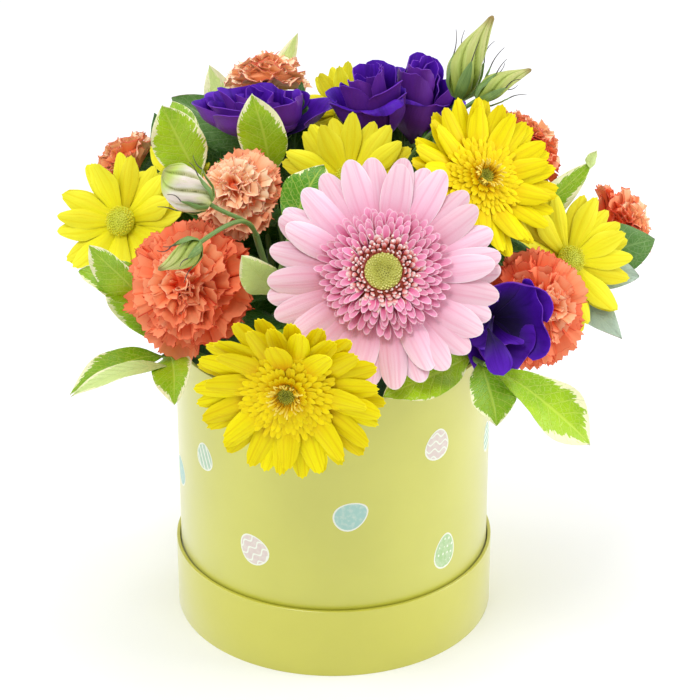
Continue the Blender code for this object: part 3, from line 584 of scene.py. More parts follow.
def film_finish():
    """Waterproof film, faintly creased."""
    material, tree, shader = new_material("liner_film_creased", 0.3)
    crease = grain(tree, own_places(tree), 60.0, 4.0, 0.6)
    colour = blend(tree, band(tree, crease, 0.4, 0.65), (196, 203, 196), (176, 186, 178))
    paint(tree, shader, colour, crease, FILM_RELIEF, band(tree, crease, 0.3, 0.7, 0.2, 0.42))
    return material


def floor_finish():
    """Matt white studio floor."""
    material, tree, shader = new_material("studio_floor", 0.9, Specular_IOR_Level=0.1)
    colour = blend(tree, grain(tree, own_places(tree), 3.0), (250, 251, 255), (252, 253, 255))
    tree.links.new(colour, shader.inputs["Base Color"])
    return material


# Tints of single petals, by their tones
WARM = ((0.0, (236, 228, 224)), (1.0, (255, 255, 255)))
SUNNY = ((0.0, (238, 230, 205)), (1.0, (255, 255, 255)))
# A furled bud's tone falls in the grooves of its furl, for a darker green that is partly the bud's own
# green and partly painted shade
FURLED = ((0.0, (150, 160, 96)), (0.35, (222, 224, 180)), (0.8, (255, 255, 255)),
          (1.0, (236, 228, 226)))
SILKY = ((0.0, (215, 205, 235)), (1.0, (255, 255, 255)))
CORAL = ((0.0, (250, 142, 106)), (0.3, (252, 172, 136)), (0.65, (255, 218, 188)),
         (1.0, (255, 248, 230)))

PETAL_SKINS = {
    "pink_ray": dict(
        lengthwise=((0.0, (214, 100, 146)), (0.42, (244, 164, 198)), (0.7, (252, 204, 226)),
                    (1.0, (255, 226, 240))),
        streak=(242, 160, 190), edge=(255, 242, 246), underside=(250, 200, 214), tones=WARM, veins=14.0,
        streak_share=0.4, edge_share=0.8, margin=0.08, crease_share=0.35, Specular_IOR_Level=0.3,
        Sheen_Weight=0.1),
    "pink_floret": dict(
        lengthwise=((0.0, (190, 40, 90)), (0.5, (238, 116, 166)), (1.0, (250, 172, 208))),
        streak=(228, 96, 150), edge=(255, 230, 240), underside=(244, 160, 198), tones=WARM, veins=6.0,
        streak_share=0.3, edge_share=0.65, margin=0.34, Specular_IOR_Level=0.3),
    "pink_stamen": dict(
        lengthwise=((0.0, (110, 20, 14)), (0.4, (206, 70, 50)), (0.66, (240, 150, 150)),
                    (0.85, (255, 226, 226)), (1.0, (255, 246, 244))),
        streak=(226, 100, 100), edge=(255, 245, 240), tones=WARM, veins=5.0, streak_share=0.3,
        edge_share=0.5, margin=0.1, roughness=0.4, aspect=2.0),
    # Yellow rays: the orange-brown at their foot is painted shade, the shadow line under the rays that
    # fold forward
    "yellow_ray": dict(
        lengthwise=((0.0, (214, 110, 0)), (0.3, (232, 168, 0)), (0.5, (242, 216, 0)),
                    (0.65, (244, 230, 2)), (1.0, (246, 234, 6))),
        streak=(224, 190, 0), edge=(250, 240, 24), underside=(236, 218, 8), tones=SUNNY, veins=12.0,
        streak_share=0.4, edge_share=0.35, margin=0.07, crease_share=0.45, Specular_IOR_Level=0.14),
    "gold_floret": dict(
        lengthwise=((0.0, (238, 176, 0)), (0.4, (246, 212, 0)), (1.0, (250, 230, 6))),
        streak=(240, 206, 0), edge=(253, 242, 60), underside=(246, 226, 8), tones=SUNNY, veins=6.0,
        streak_share=0.3, edge_share=0.45, margin=0.16, Specular_IOR_Level=0.12),
    "gold_stigma": dict(
        lengthwise=((0.0, (200, 140, 0)), (0.5, (240, 204, 30)), (1.0, (255, 240, 110))),
        streak=(220, 160, 10), edge=(250, 235, 130), tones=SUNNY, veins=4.0, streak_share=0.3,
        edge_share=0.2, margin=0.1, roughness=0.4),
    "lemon_ray": dict(
        lengthwise=((0.0, (206, 198, 6)), (0.3, (238, 230, 16)), (1.0, (248, 245, 58))),
        streak=(236, 218, 8), edge=(255, 253, 100), underside=(246, 238, 60), tones=SUNNY, veins=12.0,
        streak_share=0.4, edge_share=0.35, margin=0.06, crease_share=0.5, Specular_IOR_Level=0.16),
    # Carnations: the deep orange-red at a petal's foot is partly the flower's own colour and partly
    # painted shade deep in the bloom
    "carnation": dict(
        lengthwise=((0.0, (236, 64, 22)), (0.4, (247, 124, 74)), (0.75, (253, 208, 172)),
                    (1.0, (253, 242, 224))),
        streak=(255, 178, 136), edge=(214, 40, 44), underside=(255, 196, 156), tones=CORAL, veins=22.0,
        streak_share=0.4, edge_share=0.85, margin=0.045, roughness=0.55, aspect=7.0,
        Specular_IOR_Level=0.2),
    # Lisianthus: the near-black foot of a petal is painted shade in the throat of the cup. The darker
    # violet streaks are partly veins and partly painted shade of the folds, and the paler violet
    # underside is partly the petals' paler back and partly painted reflection.
    "lisianthus": dict(
        lengthwise=((0.0, (8, 1, 20)), (0.3, (32, 4, 72)), (0.6, (78, 20, 156)), (1.0, (100, 36, 194))),
        streak=(46, 4, 104), edge=(132, 68, 190), underside=(122, 56, 158), tones=SILKY, veins=12.0,
        streak_share=0.6, edge_share=0.35, margin=0.03, roughness=0.45, aspect=12.0,
        Specular_IOR_Level=0.14, Sheen_Weight=0.02, Sheen_Tint=(0.35, 0.12, 0.9, 1)),
    "bud": dict(
        lengthwise=((0.0, (150, 180, 60)), (0.5, (196, 212, 112)), (0.85, (214, 220, 140)),
                    (1.0, (150, 104, 50))),
        streak=(150, 178, 60), edge=(232, 236, 180), tones=FURLED, veins=12.0, streak_share=0.5,
        edge_share=0.2, margin=0.1, roughness=0.4),
    "pale_bud": dict(
        lengthwise=((0.0, (206, 222, 130)), (0.3, (238, 230, 214)), (0.65, (244, 236, 228)),
                    (0.85, (196, 222, 96)), (1.0, (150, 150, 70))),
        streak=(206, 222, 140), edge=(240, 240, 226), tones=FURLED, veins=10.0, streak_share=0.6,
        edge_share=0.2, margin=0.1, roughness=0.4),
}
# Colour of the specks, then colours from the middle of the disc to its rim
BUTTON_SKINS = {
    "red_crown": ((120, 26, 14), ((0.0, (170, 70, 20)), (1.0, (150, 36, 24)))),
    "green_eye": ((150, 150, 50), ((0.0, (60, 46, 10)), (0.15, (120, 110, 34)), (0.5, (186, 186, 76)),
                                   (1.0, (240, 240, 150)))),
    "olive_eye": ((170, 160, 20), ((0.0, (130, 136, 30)), (0.5, (172, 176, 50)),
                                   (1.0, (214, 200, 40)))),
    "button": ((160, 166, 20), ((0.0, (176, 190, 50)), (0.6, (212, 214, 46)), (1.0, (232, 220, 30)))),
}
# Young and old colour
STEM_SKINS = {
    "stem": ((132, 162, 84), (88, 124, 58)),
    "hair": ((92, 84, 70), (54, 40, 52)),
}
LEAF_SKINS = {
    "variegated_leaf": dict(young=(174, 212, 24), old=(62, 132, 2), pale=(214, 230, 96),
                            margin_colour=(240, 240, 190), margin_start=1.06, raggedness=0.9,
                            underside=(214, 232, 150)),
    "deep_leaf": dict(young=(52, 104, 24), old=(26, 66, 14), pale=(110, 150, 66),
                      margin_colour=(80, 130, 50), margin_start=1.1, raggedness=0.2,
                      underside=(104, 144, 74), margin_share=0.5),
    "dull_leaf": dict(young=(98, 142, 62), old=(66, 110, 44), pale=(146, 178, 110),
                      margin_colour=(150, 110, 80), margin_start=1.38, raggedness=0.05,
                      underside=(178, 198, 180), margin_share=0.7),
}


def make_finishes():
    """Every material that the flowers and leaves share, by name."""
    petal, leaf = petal_grain_group(), leaf_vein_group()
    finish = {name: petal_finish(f"{name}_skin", petal, **look) for name, look in PETAL_SKINS.items()}
    for name, look in BUTTON_SKINS.items():
        finish[name] = button_finish(f"{name}_skin", *look)
    for name, look in STEM_SKINS.items():
        finish[name] = stem_finish(f"{name}_skin", petal, *look)
    for name, look in LEAF_SKINS.items():
        finish[name] = leaf_finish(f"{name}_skin", leaf, **look)
    return finish


# Sheets, skins and tubes

def ease(value):
    """Soft step from 0 to 1."""
    value = np.clip(value, 0, 1)
    return value * value * (3 - 2 * value)


def unit(arrays):
    """Unit vectors."""
    tiny = 1e-9
    return arrays / np.maximum(np.linalg.norm(arrays, axis=-1, keepdims=True), tiny)


def around(sides):
    """Even angles round a ring."""
    return np.linspace(0, math.tau, sides, endpoint=False)


def outward(angle):
    """Unit vector out from a bloom's axis, in the bloom's own frame."""
    return np.array([math.cos(angle), math.sin(angle), 0])


def aside(out):
    """Unit vector round a bloom's axis, at right angles to one that looks out."""
    return np.array([-out[1], out[0], 0])


def turned(profile, sides, ribs=1.0):
    """Rings of points round an axis, one for each radius and height."""
    angles = around(sides)
    return np.array([np.stack([radius * ribs * np.cos(angles), radius * ribs * np.sin(angles),
                               np.full(sides, height)], -1) for radius, height in profile])


def net(columns, rows, rounded=True):
    """Places across a petal, -1 to 1, and along it, 0 to 1. Rounded crowds them to its sides."""
    across = np.linspace(-1, 1, columns + 1)
    if rounded:
        across = np.sin(across * math.pi / 2)
    return np.meshgrid(across, np.linspace(0, 1, rows + 1))


def blade_faces(rows, columns):
    """Faces of one closed blade: its upper side, its lower side and its rim."""
    index = np.arange((rows + 1) * (columns + 1)).reshape(rows + 1, columns + 1)
    corners = [index[:-1, :-1], index[:-1, 1:], index[1:, 1:], index[1:, :-1]]
    upper = np.stack(corners, -1).reshape(-1, 4)
    loop = np.concatenate([index[0], index[1:, -1], index[-1, -2::-1], index[-2:0:-1, 0]])
    after, below = np.roll(loop, -1), index.size
    rim = np.stack([loop, loop + below, after + below, after], -1)
    return np.concatenate([upper, upper[:, ::-1] + below, rim])


def skin_faces(rings, sides):
    """Faces of a closed skin over rings of points."""
    index = np.arange(rings * sides).reshape(rings, sides)
    after = np.roll(index, -1, axis=1)
    wall = np.stack([index[:-1], after[:-1], after[1:], index[1:]], -1).reshape(-1, 4)
    return wall.tolist() + [index[0][::-1].tolist(), index[-1].tolist()]


class Cuttings:
    """Many petals, leaves or stems, gathered into the mesh of one piece."""

    def __init__(self):
        self.points, self.faces, self.places, self.tones, self.uppers = [], [], [], [], []
        self.count = 0

    def add(self, points, faces, places, tones, uppers):
        """Take in loose points with their faces, flat places, tones and upper sides."""
        self.points.append(points)
        self.faces += faces
        self.places.append(places)
        self.tones.append(tones)
        self.uppers.append(uppers)
        self.count += len(points)

    def add_blades(self, grids, across, along, tones, thickness=BLADE):
        """Close a stack of sheets into thin blades."""
        petals, rows, columns = grids.shape[:3]
        normal = unit(np.cross(np.gradient(grids, axis=2), np.gradient(grids, axis=1)))
        fullness = RIM_SHARE + (1 - RIM_SHARE) * np.sqrt(np.clip(1 - across ** 2, 0, 1))
        thin = thickness * fullness[None, :, :, None] / 2
        layers = np.stack([grids + normal * thin, grids - normal * thin], axis=1)
        size = rows * columns
        base = blade_faces(rows - 1, columns - 1)
        offsets = self.count + 2 * size * np.arange(petals)
        faces = (base[None] + offsets[:, None, None]).reshape(-1, 4).tolist()
        flat = np.stack([(across + 1) / 2, along], -1).reshape(-1, 2)
        uppers = np.tile(np.repeat([1.0, 0.0], size), petals)
        self.add(layers.reshape(-1, 3), faces, np.tile(flat, (2 * petals, 1)),
                 np.repeat(tones, 2 * size), uppers)

    def add_petals(self, sheets, angles, bloom, across, along, tones, thickness=BLADE):
        """Turn sheets round a bloom's axis, move them to its place and close them into blades."""
        self.add_blades(face_out(round_axis(sheets, angles), bloom), across, along, tones, thickness)

    def add_skin(self, rings, tone, lengths=None):
        """Close a skin over rings of points. Its tone may differ by point."""
        count, sides = rings.shape[:2]
        faces = [[corner + self.count for corner in face] for face in skin_faces(count, sides)]
        lengths = np.linspace(0, 1, count) if lengths is None else lengths
        # Flat places swing across and back, so that the streaks meet all round
        swing = 0.5 + 0.4 * np.sin(np.linspace(0, 1, sides, endpoint=False) * math.tau)
        flat = np.stack(np.meshgrid(swing, lengths), -1).reshape(-1, 2)
        tones = np.broadcast_to(tone, (count, sides)).ravel()
        self.add(rings.reshape(-1, 3), faces, flat, tones, np.ones(count * sides))

    def make(self, name, material, slot, *nodes, sharp=70):
        """Turn what was gathered into a piece that stands for CAD nodes."""
        mesh = bpy.data.meshes.new(name)
        mesh.from_pydata((np.concatenate(self.points) * MM).tolist(), [], self.faces)
        corners = np.empty(len(mesh.loops), dtype=np.int64)
        mesh.loops.foreach_get("vertex_index", corners)
        layer = mesh.uv_layers.new(name="UVMap")
        layer.data.foreach_set("uv", np.concatenate(self.places)[corners].ravel())
        for attribute, values in (("tone", self.tones), ("upper", self.uppers)):
            made = mesh.attributes.new(attribute, "FLOAT", "POINT")
            made.data.foreach_set("value", np.concatenate(values))
        mesh.shade_smooth()
        mesh.set_sharp_from_angle(angle=math.radians(sharp))
        mesh.materials.append(material)
        piece = bpy.data.objects.new(name, mesh)
        bpy.context.scene.collection.objects.link(piece)
        dress(piece, slot, *nodes)


def dress(piece, slot, *nodes):
    """Let a piece ride on the part and stand for its nodes. Its slot is not used."""
    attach(piece, "root")
    if nodes:
        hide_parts(*nodes)


# A direction that no stem or thread sets off in, to turn the first ring of a tube from
ASKEW = (0.3, 0.5, 0.8)


def tube_rings(path, radii, sides):
    """Rings of points round a path."""
    path = np.asarray(path, float)
    radii = np.broadcast_to(np.asarray(radii, float), len(path))
    ahead = unit(np.gradient(path, axis=0))
    side = np.cross(ahead[0], ASKEW)
    angles = around(sides)
    rings = []
    for place, heading, radius in zip(path, ahead, radii):
        side = unit(side - heading * (side @ heading))
        across = np.cross(heading, side)
        circle = np.outer(np.cos(angles), side) + np.outer(np.sin(angles), across)
        rings.append(place + radius * circle)
    return np.array(rings)


def direction(azimuth, elevation):
    """Unit vector that looks out from the arrangement."""
    turn, rise = math.radians(azimuth), math.radians(elevation)
    level = math.cos(rise)
    return Vector((math.sin(turn) * level, -math.cos(turn) * level, math.sin(rise)))


def face_out(points, bloom):
    """Move points from a bloom's own frame to its place."""
    turn = direction(bloom.azimuth, bloom.elevation).to_track_quat("Z", "Y").to_matrix()
    return np.array(bloom.head, float) + points @ np.array(turn).T


def round_axis(grids, angles):
    """Turn a stack of sheets round a bloom's own axis, from out along +Y to the given angles."""
    c, s = column(np.cos(angles)), column(np.sin(angles))
    x, y, z = grids[..., 0], grids[..., 1], grids[..., 2]
    return np.stack([x * s + y * c, -x * c + y * s, z], -1)


def column(values):
    """One value for each petal, ready to meet a net of places."""
    return np.asarray(values, float)[:, None, None]


# A ray's two folds: their distance from its middle line and their width, as shares of its half width
FOLD_PLACE, FOLD_WIDTH = 0.38, 0.13


def ray_sheets(u, v, start, length, width, lift, rise, foot, widest, camber, climb=0.0, taper=0.0,
               blunt=1.0, notch=0.0, groove=0.0, curl=0.0, sweep=0.0, twist=0.0, wave=0.0):
    """Sheets of long petals that lie out along +Y. Everything but the net may differ by petal.

    They run out from start to length and up from lift by rise, in mm. Foot is the width of the root
    and taper the loss at the tip, as shares of the width, and widest is a share of the length.
    """
    round_tip = blunt * width / 2 * (1 - np.sqrt(np.clip(1 - u * u, 0, 1)))
    teeth = notch * (0.5 - 0.5 * np.cos(4 * math.pi * u))
    reach = start + (length - round_tip - teeth - start) * v
    share = (reach - start) / (length - start)
    broad = width / 2 * (foot + (1 - foot) * ease(share / widest))
    half = broad * (1 - taper * ease((share - 0.5) / 0.5))
    depth = np.sin(math.pi * np.clip(share, 0, 1) ** 0.8) ** 0.6
    folds = np.exp(-((np.abs(u) - FOLD_PLACE) / FOLD_WIDTH) ** 2) * depth
    across = u * half + sweep * share ** 2
    height = (lift + rise * (reach / length) ** 2 + climb * np.sin(share * math.pi / 2)
              - camber * half * u * u - groove * folds + curl * ease((share - 0.6) / 0.4)
              + twist * u * half * share + wave * np.sin(share * 7 + u * 2 + twist * 40) * share)
    return np.stack(np.broadcast_arrays(across, reach, height), -1)


def spaced(count, rng, waver, first=0.0):
    """Angles round a bloom, evenly spaced but for a little waver. First is in steps."""
    return math.tau * (first + np.arange(count) + rng.uniform(-waver, waver, count)) / count


# Gerberas

def gerbera_rays(name, bloom, rows, width, rng, material, slot, notch, fold=0.0, **look):
    """Rows of long rays. Each has its count, its reach as a share of the radius, height and rise.

    Fold is how far the upper rays bend forward, in mm.
    """
    u, v = net(12, 13)
    petals = Cuttings()
    for k, (count, reach, lift, rise) in enumerate(rows):
        angles = spaced(count, rng, 0.17, first=k * 0.5)
        folded = np.maximum(0, np.sin(angles)) ** 2 * fold * (1 + 0.3 * k)
        length = (bloom.radius * reach - 0.3 * folded) * rng.uniform(0.95, 1.0, count)
        sheets = ray_sheets(
            u, v, start=5.0, length=column(length),
            width=column(width * rng.uniform(0.88, 1.06, count)),
            lift=column(lift + rng.uniform(-0.35, 0.35, count)), rise=column(rise + folded),
            notch=column(notch * rng.uniform(0.4, 1.4, count)),
            sweep=column(rng.uniform(-1.6, 1.6, count)), twist=column(rng.uniform(-0.14, 0.14, count)),
            curl=column(rng.uniform(-1.6, 0.8, count)), **look)
        petals.add_petals(sheets, angles, bloom, u, v, rng.uniform(0, 1, count))
    petals.make(f"{name}_petals", material, slot, f"{name}_rays")


def gerbera_florets(petals, bloom, rows, rng, **look):
    """Rows of small florets: count, root radius and height, tip radius and climb, and width."""
    u, v = net(4, 5)
    for k, (count, root, root_height, tip, climb, width) in enumerate(rows):
        angles = spaced(count, rng, 0.3, first=k * 0.37)
        sheets = ray_sheets(
            u, v, start=root, length=column(tip * rng.uniform(0.95, 1.04, count)),
            width=column(width * rng.uniform(0.8, 1.15, count)), lift=root_height, rise=0.0,
            climb=column(climb * rng.uniform(0.85, 1.12, count)),
            sweep=column(rng.uniform(-0.9, 0.9, count)), twist=column(rng.uniform(-0.3, 0.3, count)),
            **look)
        petals.add_petals(sheets, angles, bloom, u, v, rng.uniform(0, 1, count), FLORET_BLADE)


# Sides of the thinnest tubes, and how much wider than its foot a stamen's tip is
THREAD_SIDES = 5
STAMEN_FLARE = 1.35


def stamen(root, out, height, lean, radius):
    """Rings of one little tube with a flared tip."""
    steps = np.array([0.0, 0.5, 0.85, 1.0])
    path = root + np.outer(steps, [0, 0, height]) + np.outer(steps ** 2, out * lean)
    radii = [radius, radius * 0.9, radius * STAMEN_FLARE, radius * STAMEN_FLARE * 0.8]
    return tube_rings(path, radii, THREAD_SIDES)


def gerbera_stamens(tubes, bloom, rows, rng):
    """Ring of stamens: count, radius, root height, length, lean and thickness for each row."""
    for count, radius, low, length, lean, thick in rows:
        for angle in spaced(count, rng, 0.35, first=radius):
            out = outward(angle)
            root = out * radius * rng.uniform(0.93, 1.07) + [0, 0, low]
            sideways = aside(out) * rng.uniform(-0.9, 0.9)
            rings = stamen(root, out + sideways, length * rng.uniform(0.7, 1.2), lean, thick)
            tubes.add_skin(face_out(rings, bloom), rng.uniform(0, 1))


def curled_stigmas(tubes, bloom, count, radius, low, rng):
    """Thin hooked threads round an eye."""
    for angle in spaced(count, rng, 0.4):
        out = outward(angle)
        side = aside(out) * rng.uniform(-1, 1)
        turn = np.linspace(0, rng.uniform(1.4, 2.6), 6)
        size = rng.uniform(1.4, 2.6)
        root = out * radius * rng.uniform(0.8, 1.15) + [0, 0, low]
        path = (root + np.outer(size * (1 - np.cos(turn)), out * 0.9 + side)
                + np.outer(size * 1.5 * np.sin(turn) + 1.4 * turn, [0, 0, 1]))
        rings = tube_rings(path, np.linspace(0.5, 0.34, 6), THREAD_SIDES)
        tubes.add_skin(face_out(rings, bloom), rng.uniform(0, 1))


# Turn from one bud to the next in a sunflower spiral, in radians, and from leaf to leaf, in degrees
GOLDEN_ANGLE, GOLDEN_DEGREES = 2.39996, 137.5
# A low dome from its rim to its middle: share of its radius and share of its height
DOME_SHARES = np.array([1.0, 1.0, 0.85, 0.65, 0.42, 0.2, 0.04])
DOME_HEIGHTS = np.array([0.0, 0.45, 0.75, 0.93, 1.0, 1.0, 1.0])


def seed_dome(cuttings, bloom, rng, radius, low, high, dish, count=0, size=0.0):
    """Low dome set with little buds of a size in a sunflower spiral. Dish sinks its middle."""
    heights = low + (high - low) * DOME_HEIGHTS - dish * (1 - DOME_SHARES) ** 1.5
    dome = turned(zip(DOME_SHARES * radius, heights), 24)
    cuttings.add_skin(face_out(dome, bloom), 0.5)
    for k in range(count):
        share = math.sqrt((k + 0.5) / count)
        height = np.interp(share, DOME_SHARES[::-1][:-1], heights[::-1][:-1])
        out = outward(k * GOLDEN_ANGLE)
        foot = out * radius * share * 0.97 + [0, 0, height - 0.3]
        grow = size * (0.6 + 0.5 * share) * rng.uniform(0.7, 1.25)
        path = foot + np.outer([0, 0.5, 1.0], out * 0.35 * share * grow + [0, 0, grow * 1.1])
        rings = tube_rings(path, [grow * 0.5, grow * 0.52, grow * 0.18], THREAD_SIDES)
        cuttings.add_skin(face_out(rings, bloom), share)


# Pink gerbera: rows of rays, then of florets, of the ruff inside them, and of stamens
PINK_RAYS = ((15, 1.0, -3.0, 4.0), (15, 0.99, -1.8, 5.2), (5, 0.92, -0.8, 6.2))
PINK_FLORETS = ((34, 17, 0.8, 31.5, 3.2, 4.3), (34, 16, 2.2, 29.2, 4.0, 4.2),
                (33, 15, 3.6, 26.6, 4.4, 4.0), (31, 14, 4.8, 23.8, 4.6, 3.8),
                (28, 12.5, 5.8, 21.0, 4.6, 3.6))
PINK_RUFF = ((26, 13.6, 4.2, 19.6, 5.4, 3.5), (25, 12.4, 4.4, 17.2, 5.8, 3.3),
             (24, 11.2, 4.4, 15.0, 5.6, 3.0), (22, 10.0, 4.2, 12.8, 5.0, 2.7),
             (20, 8.8, 4.0, 10.6, 4.2, 2.3))
PINK_STAMENS = ((18, 15.6, 6.0, 4.6, 1.4, 0.5), (20, 12.8, 6.0, 4.4, 0.9, 0.5),
                (22, 10.0, 5.4, 3.6, 0.5, 0.45))


def pink_gerbera(finish):
    """Large pink gerbera: rows of rays, florets and a ruff, stamens and a green eye."""
    name, disc, slot = "gerbera_pink", "gerbera_pink_disc", "floret_pink"
    bloom = GERBERAS[name]
    rng = np.random.default_rng([SEED, PINK_SEED])
    gerbera_rays(name, bloom, PINK_RAYS, 17.2, rng, finish["pink_ray"], "ray_pink", 0.0, camber=0.3,
                 groove=0.6, foot=0.16, widest=0.8, taper=0.3, blunt=1.2)
    florets = Cuttings()
    gerbera_florets(florets, bloom, PINK_FLORETS, rng, foot=0.45, widest=0.7, camber=-0.4, blunt=1.5,
                    taper=0.2)
    florets.make(f"{name}_florets", finish["pink_floret"], slot, disc)
    tubes = Cuttings()
    gerbera_florets(tubes, bloom, PINK_RUFF, rng, foot=0.3, widest=0.85, camber=0.6, curl=-1.0)
    gerbera_stamens(tubes, bloom, PINK_STAMENS, rng)
    tubes.make(f"{name}_stamens", finish["pink_stamen"], slot, disc)
    crown = Cuttings()
    seed_dome(crown, bloom, rng, radius=17.0, low=1.0, high=6.4, dish=1.2)
    crown.make(f"{name}_crown", finish["red_crown"], slot, disc)
    eye = Cuttings()
    seed_dome(eye, bloom, rng, radius=8.8, low=5.6, high=7.6, dish=2.4, count=170, size=1.0)
    eye.make(f"{name}_eye", finish["green_eye"], slot, disc)


# Yellow gerberas: rows of rays, a ray's width, rows of florets, the eye's radius and height, and how
# far the upper rays fold forward
YELLOW_GERBERAS = {
    "gerbera_front": (((17, 1.0, -3.0, 3.5), (17, 0.97, -1.7, 5.0), (8, 0.86, -0.4, 7.5)), 11.6,
                      ((46, 10.5, 1.2, 25.0, 0.3, 3.0), (44, 9.5, 1.6, 21.5, 0.4, 3.0),
                       (40, 8.5, 2.0, 18.0, 0.6, 2.9), (34, 7.5, 2.5, 14.5, 0.9, 2.7),
                       (26, 5.8, 3.1, 10.4, 1.4, 2.4)), (4.4, 4.0), 10.0),
    "gerbera_right": (((16, 1.03, -3.0, 5.5), (16, 1.0, -1.7, 7.5), (9, 0.9, -0.4, 9.0)), 11.4,
                      ((42, 9.5, 1.2, 22.0, 0.3, 2.9), (40, 8.5, 1.6, 19.0, 0.4, 2.9),
                       (36, 7.5, 2.0, 16.0, 0.6, 2.8), (30, 6.5, 2.5, 13.0, 0.9, 2.6),
                       (24, 5.2, 3.1, 9.2, 1.4, 2.2)), (4.0, 4.0), 0.0),
}


def yellow_gerbera(name, finish, number):
    """Yellow gerbera: notched rays, a funnel of thin florets and a green eye with curled stigmas."""
    bloom = GERBERAS[name]
    rows, width, florets, (radius, low), fold = YELLOW_GERBERAS[name]
    rng = np.random.default_rng([SEED, number])
    gerbera_rays(name, bloom, rows, width, rng, finish["yellow_ray"], "ray_yellow", 0.9, fold=fold,
                 camber=0.3, groove=0.85, foot=0.32, widest=0.6, taper=0.32, blunt=1.25, wave=0.25)
    funnel = Cuttings()
    gerbera_florets(funnel, bloom, florets, rng, notch=0.3, camber=0.06, foot=0.8, widest=0.5,
                    taper=0.2, curl=0.1)
    funnel.make(f"{name}_florets", finish["gold_floret"], "floret_gold", f"{name}_disc")
    threads = Cuttings()
    curled_stigmas(threads, bloom, 44, radius * 1.15, low - 0.8, rng)
    threads.make(f"{name}_stigmas", finish["gold_stigma"], "floret_gold", f"{name}_disc")
    eye = Cuttings()
    seed_dome(eye, bloom, rng, radius=radius * 1.25, low=0.8, high=low, dish=1.4, count=120, size=1.2)
    eye.make(f"{name}_eye", finish["olive_eye"], "floret_gold", f"{name}_disc")


# Daisies

# Rows of a daisy's rays: count, reach as a share of its radius, height, rise and first step
DAISY_ROWS = ((11, 1.0, -2.8, 4.0, 0.0), (10, 0.98, -1.4, 5.5, 0.5), (4, 0.92, -0.4, 7.5, 0.2))
# Width of a ray in a daisy of the usual radius
DAISY_RAY, DAISY_RADIUS = 12.4, 35


def daisy(name, bloom, number, finish):
    """Daisy with rows of broad rays round a pitted button."""
    rng = np.random.default_rng([SEED, number])
    u, v = net(12, 12)
    petals = Cuttings()
    width = DAISY_RAY * bloom.radius / DAISY_RADIUS
    for count, reach, lift, rise, first in DAISY_ROWS:
        angles = spaced(count, rng, 0.2, first)
        sheets = ray_sheets(
            u, v, start=4.0, length=column(bloom.radius * reach * rng.uniform(0.92, 1.0, count)),
            width=column(width * rng.uniform(0.9, 1.12, count)),
            lift=column(lift + rng.uniform(-0.3, 0.3, count)),
            rise=column(rise + rng.uniform(-1.2, 1.2, count)), foot=0.4, widest=0.72, taper=0.4,
            blunt=1.3, notch=column(rng.uniform(0.1, 0.8, count)), camber=0.3, groove=0.8,
            sweep=column(rng.uniform(-1.5, 1.5, count)), twist=column(rng.uniform(-0.16, 0.16, count)),
            curl=column(rng.uniform(-1.6, 0.8, count)), wave=0.3)
        petals.add_petals(sheets, angles, bloom, u, v, rng.uniform(0, 1, count))
    petals.make(f"{name}_petals", finish["lemon_ray"], "ray_lemon", f"{name}_rays")
    button = Cuttings()
    seed_dome(button, bloom, rng, radius=7.4, low=0.3, high=3.9, dish=-0.6, count=120, size=1.1)
    button.make(f"{name}_button", finish["button"], "disc_green_yellow", f"{name}_disc")


# Carnations

# Rows of petals from the outside in: count, root height, rim radius and height as shares of the
# bloom's radius, half width as a share of it, and how pale they are
CARNATION_ROWS = ((7, -0.30, 0.99, -0.15, 0.62, 0.1), (8, -0.24, 0.93, 0.06, 0.56, 0.16),
                  (9, -0.18, 0.80, 0.25, 0.47, 0.26), (9, -0.10, 0.62, 0.39, 0.38, 0.38),
                  (8, 0.0, 0.43, 0.48, 0.31, 0.55), (7, 0.06, 0.22, 0.53, 0.24, 0.75))

# How pale a carnation is beside a plain coral one, which is 0. Below 0 it is redder.
PALENESS = {"carnation_left": -0.25, "carnation_upper": 1.0, "carnation_top_rear": 2.7,
            "carnation_right": -0.25, "carnation_rear_left": 1.6, "carnation_rear_right": 0.6,
            "carnation_far_right": 0.4}
# Way in which a carnation's two outer rows reach further, in degrees from its right, and by what
# share of their radius
OUTER_REACH = {"carnation_left": (188, 0.32), "carnation_upper": (85, 0.15),
               "carnation_right": (265, 0.2)}
EVEN_REACH = (0, 0.0)
# Radius from which a carnation's petals get the finer net
LARGE_CARNATION = 28
# The hidden ball that a carnation's petals stand on: radii and heights as shares of its radius
CARNATION_HEART = ((0.16, -0.32), (0.46, -0.22), (0.66, -0.04), (0.5, 0.16), (0.2, 0.28))


